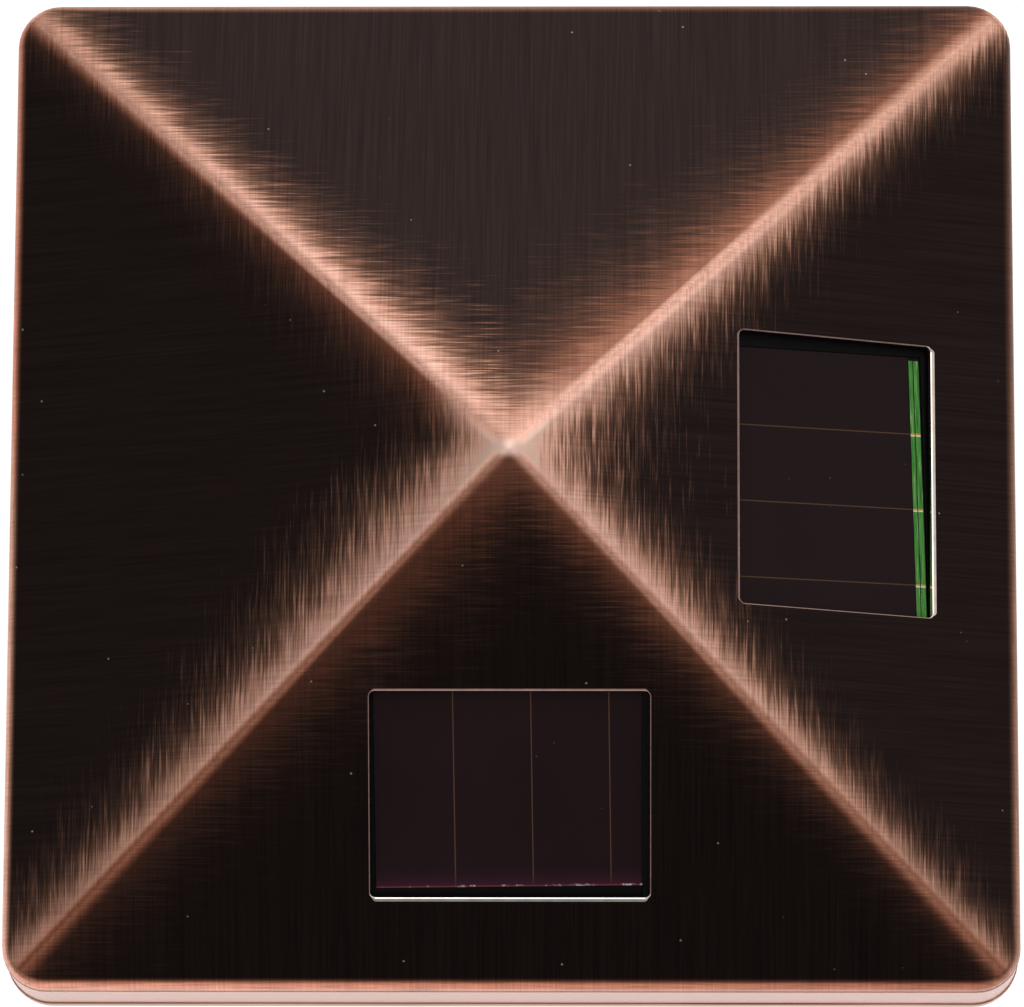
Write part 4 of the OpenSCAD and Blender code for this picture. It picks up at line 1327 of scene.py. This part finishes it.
@dataclass
class Battery:
    """A rechargeable cell of AA size: a sleeved can, crimped at both ends, with its button."""

    left: float = -24.3
    right: float = 26.15
    y: float = -12.0
    z: float = 37.95
    radius: float = 7.25
    button: float = 2.6

    def build(self) -> Piece:
        """Turns the can, bares its ends and lays it in its bay."""
        r, end = self.radius, self.right - self.left
        rim = end - 1.25
        profile = [
            (1.0, 0.12), (4.9, 0.12), (5.0, 0.0), (r - 0.75, 0.0), (r - 0.2, 0.2), (r, 0.7),
            (r, rim - 0.75), (r - 0.12, rim - 0.3), (r - 0.45, rim - 0.06), (r - 1.0, rim),
            (r - 1.25, rim - 0.08), (r - 1.3, rim - 0.25), (self.button + 0.9, rim - 0.25),
            (self.button + 0.7, rim), (self.button + 0.1, rim), (self.button, rim + 0.1),
            (self.button, end - 0.2), (self.button - 0.2, end - 0.04), (self.button - 0.5, end),
            (0.3, end),
        ]
        can = turned("battery_can", profile, 64)
        dress(can, SLEEVE)
        can.data.materials.append(NICKEL.build())

        def bare(face: Any) -> bool:
            """Whether a face of the can is past the sleeve, at its foot or round its button."""
            at = face.calc_center_median() / MM
            out = at.xy.length
            return (at.z < 0.15 and out < 5.2) or (at.z > rim - 0.3 and out < r - 1.28)

        with editing(can):
            paint(can, 1, bare)
        smooth(can, 32)
        place(can, shift(self.left, self.y, self.z) @ Matrix.Rotation(QUARTER, 4, "Y"))
        hand_over(can, "fixture", SLEEVE, "battery")
        return can


def sealant(roof: Roof) -> None:
    """Softens both frames of sealant; the front one squeezes out over the pane on its right."""
    for side in (Side.FRONT, Side.RIGHT):
        node = "cell_sealant_" + side.name.lower()
        piece = refined(node, 0.2)
        if side is Side.FRONT:
            bead = ease(block("bead", Vector((27.6, 1.3, 0.5))), 0.22, 4)
            smooth(bead, 40)
            spot = shift(roof.window_middle, roof.window[1] / 2 - 0.45, -1.15)
            place(bead, roof.slope(side) @ spot)
            piece = together(node + "_piece", [piece, bead])
        hand_over(piece, "fixture", BLACK_SILICONE, node)


@dataclass
class Studio:
    """Camera at the photo's view, soft light from a pale room, and a pale floor."""

    target: Vector = field(default_factory=lambda: Vector((-0.01, -1.83, 41.0)))
    toward: Vector = field(default_factory=lambda: Vector((0.0166, -0.2072, 0.9782)))
    distance: float = 890.0
    roll: float = 0.21  # degrees
    lens: float = 248.0
    glow: float = 0.25
    # Axis of each soft source, how narrow it is, and its strength
    sources: tuple = (
        ((0.0, 0.83, 0.55), 3, 0.96),
        ((0.5, 0.6, 0.6), 8, 0.55),
        ((0.0, 0.2, 0.98), 60, 3.2),
        ((0.5, -0.31, 0.79), 30, 1.3),
        ((-0.5, -0.31, 0.79), 30, 1.25),
        ((0.0, -1.0, 0.05), 8, 1.25),
        ((1.0, 0.0, 0.05), 6, 0.35),
        ((-1.0, 0.0, 0.05), 6, 0.35),
    )

    def camera(self) -> None:
        """Sets the camera."""
        back = self.toward.normalized()
        up = (Vector((0, 1, 0)) - back * back.y).normalized()
        right = up.cross(back)
        turn = Matrix.Rotation(math.radians(self.roll), 3, back)
        turned_axes = [turn @ axis for axis in (right, up)] + [back]
        data = bpy.data.cameras.new("camera")
        data.lens, data.sensor_width, data.sensor_fit = self.lens, 36.0, "HORIZONTAL"
        data.clip_end = 100.0
        camera = bpy.data.objects.new("camera", data)
        bpy.context.collection.objects.link(camera)
        spot = Matrix(turned_axes).transposed().to_4x4()
        spot.translation = (self.target + back * self.distance) * MM
        camera.matrix_world = spot
        bpy.context.scene.camera = camera

    def room(self) -> None:
        """Sets the soft sources as the world's light."""
        world = bpy.data.worlds.new("pale_room")
        bpy.context.scene.world = world
        tree = emptied(world)
        spot = add_node(tree, "TexCoord").outputs["Generated"]
        light: Any = self.glow
        for axis, narrow, strength in self.sources:
            aim = add_node(
                tree, "VectorMath", {0: spot, 1: Vector(axis).normalized()[:]},
                operation="DOT_PRODUCT",
            ).outputs["Value"]
            aim = maths(tree, "POWER", maths(tree, "MAXIMUM", aim, 0.0), float(narrow))
            light = maths(tree, "MULTIPLY_ADD", aim, strength, light)
        sky = add_node(tree, "Background", {"Strength": light})
        add_node(tree, "OutputWorld", {0: sky.outputs[0]})

    def floor(self) -> None:
        """Lays a pale floor at the foot of the collar."""
        put_down()
        bpy.ops.mesh.primitive_plane_add(size=6.0, location=(0, 0, -0.0004))
        floor = newest("floor")
        material = bpy.data.materials.new("pale_floor")
        tree = emptied(material)
        shader = add_node(tree, "BsdfPrincipled")
        feed(shader, "Base Color", linear("#c8c7c5"))
        feed(shader, "Roughness", 0.9)
        feed(shader, "Specular IOR Level", 0.1)
        feed(shader, "Emission Color", linear("#fffefd"))
        feed(shader, "Emission Strength", 0.8)
        # Seen from below the floor lets the view through
        below = add_node(tree, "NewGeometry").outputs["Backfacing"]
        mix = add_node(
            tree, "MixShader", {0: below, 1: shader.outputs[0],
                                2: add_node(tree, "BsdfTransparent").outputs[0]}
        )
        add_node(tree, "OutputMaterial", {0: mix.outputs[0]})
        floor.data.materials.append(material)

    def build(self) -> None:
        """Sets camera, light and floor."""
        self.camera()
        self.room()
        self.floor()
        bpy.context.scene.view_settings.view_transform = "Standard"


def main() -> None:
    """Builds the pieces in order and dresses what stays of the CAD."""
    logging.basicConfig(level=logging.INFO, format="%(message)s")
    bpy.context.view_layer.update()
    Studio().build()
    roof = Roof()
    roof.build()
    SolarCell(Side.FRONT, "solar_cell_front", CELL_FRONT, -3.5, 2.7, 0.7).build(roof)
    SolarCell(Side.RIGHT, "solar_cell_right", CELL_RIGHT, -2.8, -3.8, 1.6).build(roof)
    LightBand().build()
    for node, finish, edge in (
        ("base_plate", PLATE, 0.25), ("post_collar", COPPER, 0.25),
        ("inner_housing", ABS, 0.3), ("bottom_cover", ABS, 0.3),
    ):
        hand_over(refined(node, edge), "fixture", finish, node)
    sealant(roof)
    hand_over(refined("battery_door", 0.25), "door", ABS, "battery_door")
    hand_over(refined("switch_knob", 0.2), "knob", NYLON, "switch_knob")
    dress_node(SILICONE, "roof_adhesive")
    dress_node(FOAM, "housing_seal")
    dress_node(ZINC, "hinge_pin")
    Fasteners("plate_screws", "base_screws", corners(PILLAR, 28.0), 2.6, 1.6, 1.4, 12.0).build()
    Fasteners("cover_screw_set", "cover_screws", corners(BOX, 30.2), 1.9, 1.2, 0.95, 7.0).build()
    board = corners(BOX, 47.8, upright=False)
    Fasteners("board_screw_set", "board_screws", board, 1.9, 1.2, 0.95, 6.0).build()
    Battery().build()
    Lamps().build()
    dress_node(NICKEL, "contact_positive", "contact_negative", "contact_spring")
    for finish, node in (
        (BOARD, "circuit_board"), (EPOXY, "driver_chip"), (LACQUER, "inductor"),
        (CAP_SLEEVE, "capacitor"), (ZINC, "switch_screws"), (TIN, "switch_body"),
        (LEADS_FRONT, "cell_wires_front"), (LEADS_RIGHT, "cell_wires_right"),
        (LEADS_SWITCH, "switch_wires"), (LEADS_BATTERY, "battery_wires"),
    ):
        dress_node(finish, node)
    put_down()


if __name__ == "__main__":
    main()
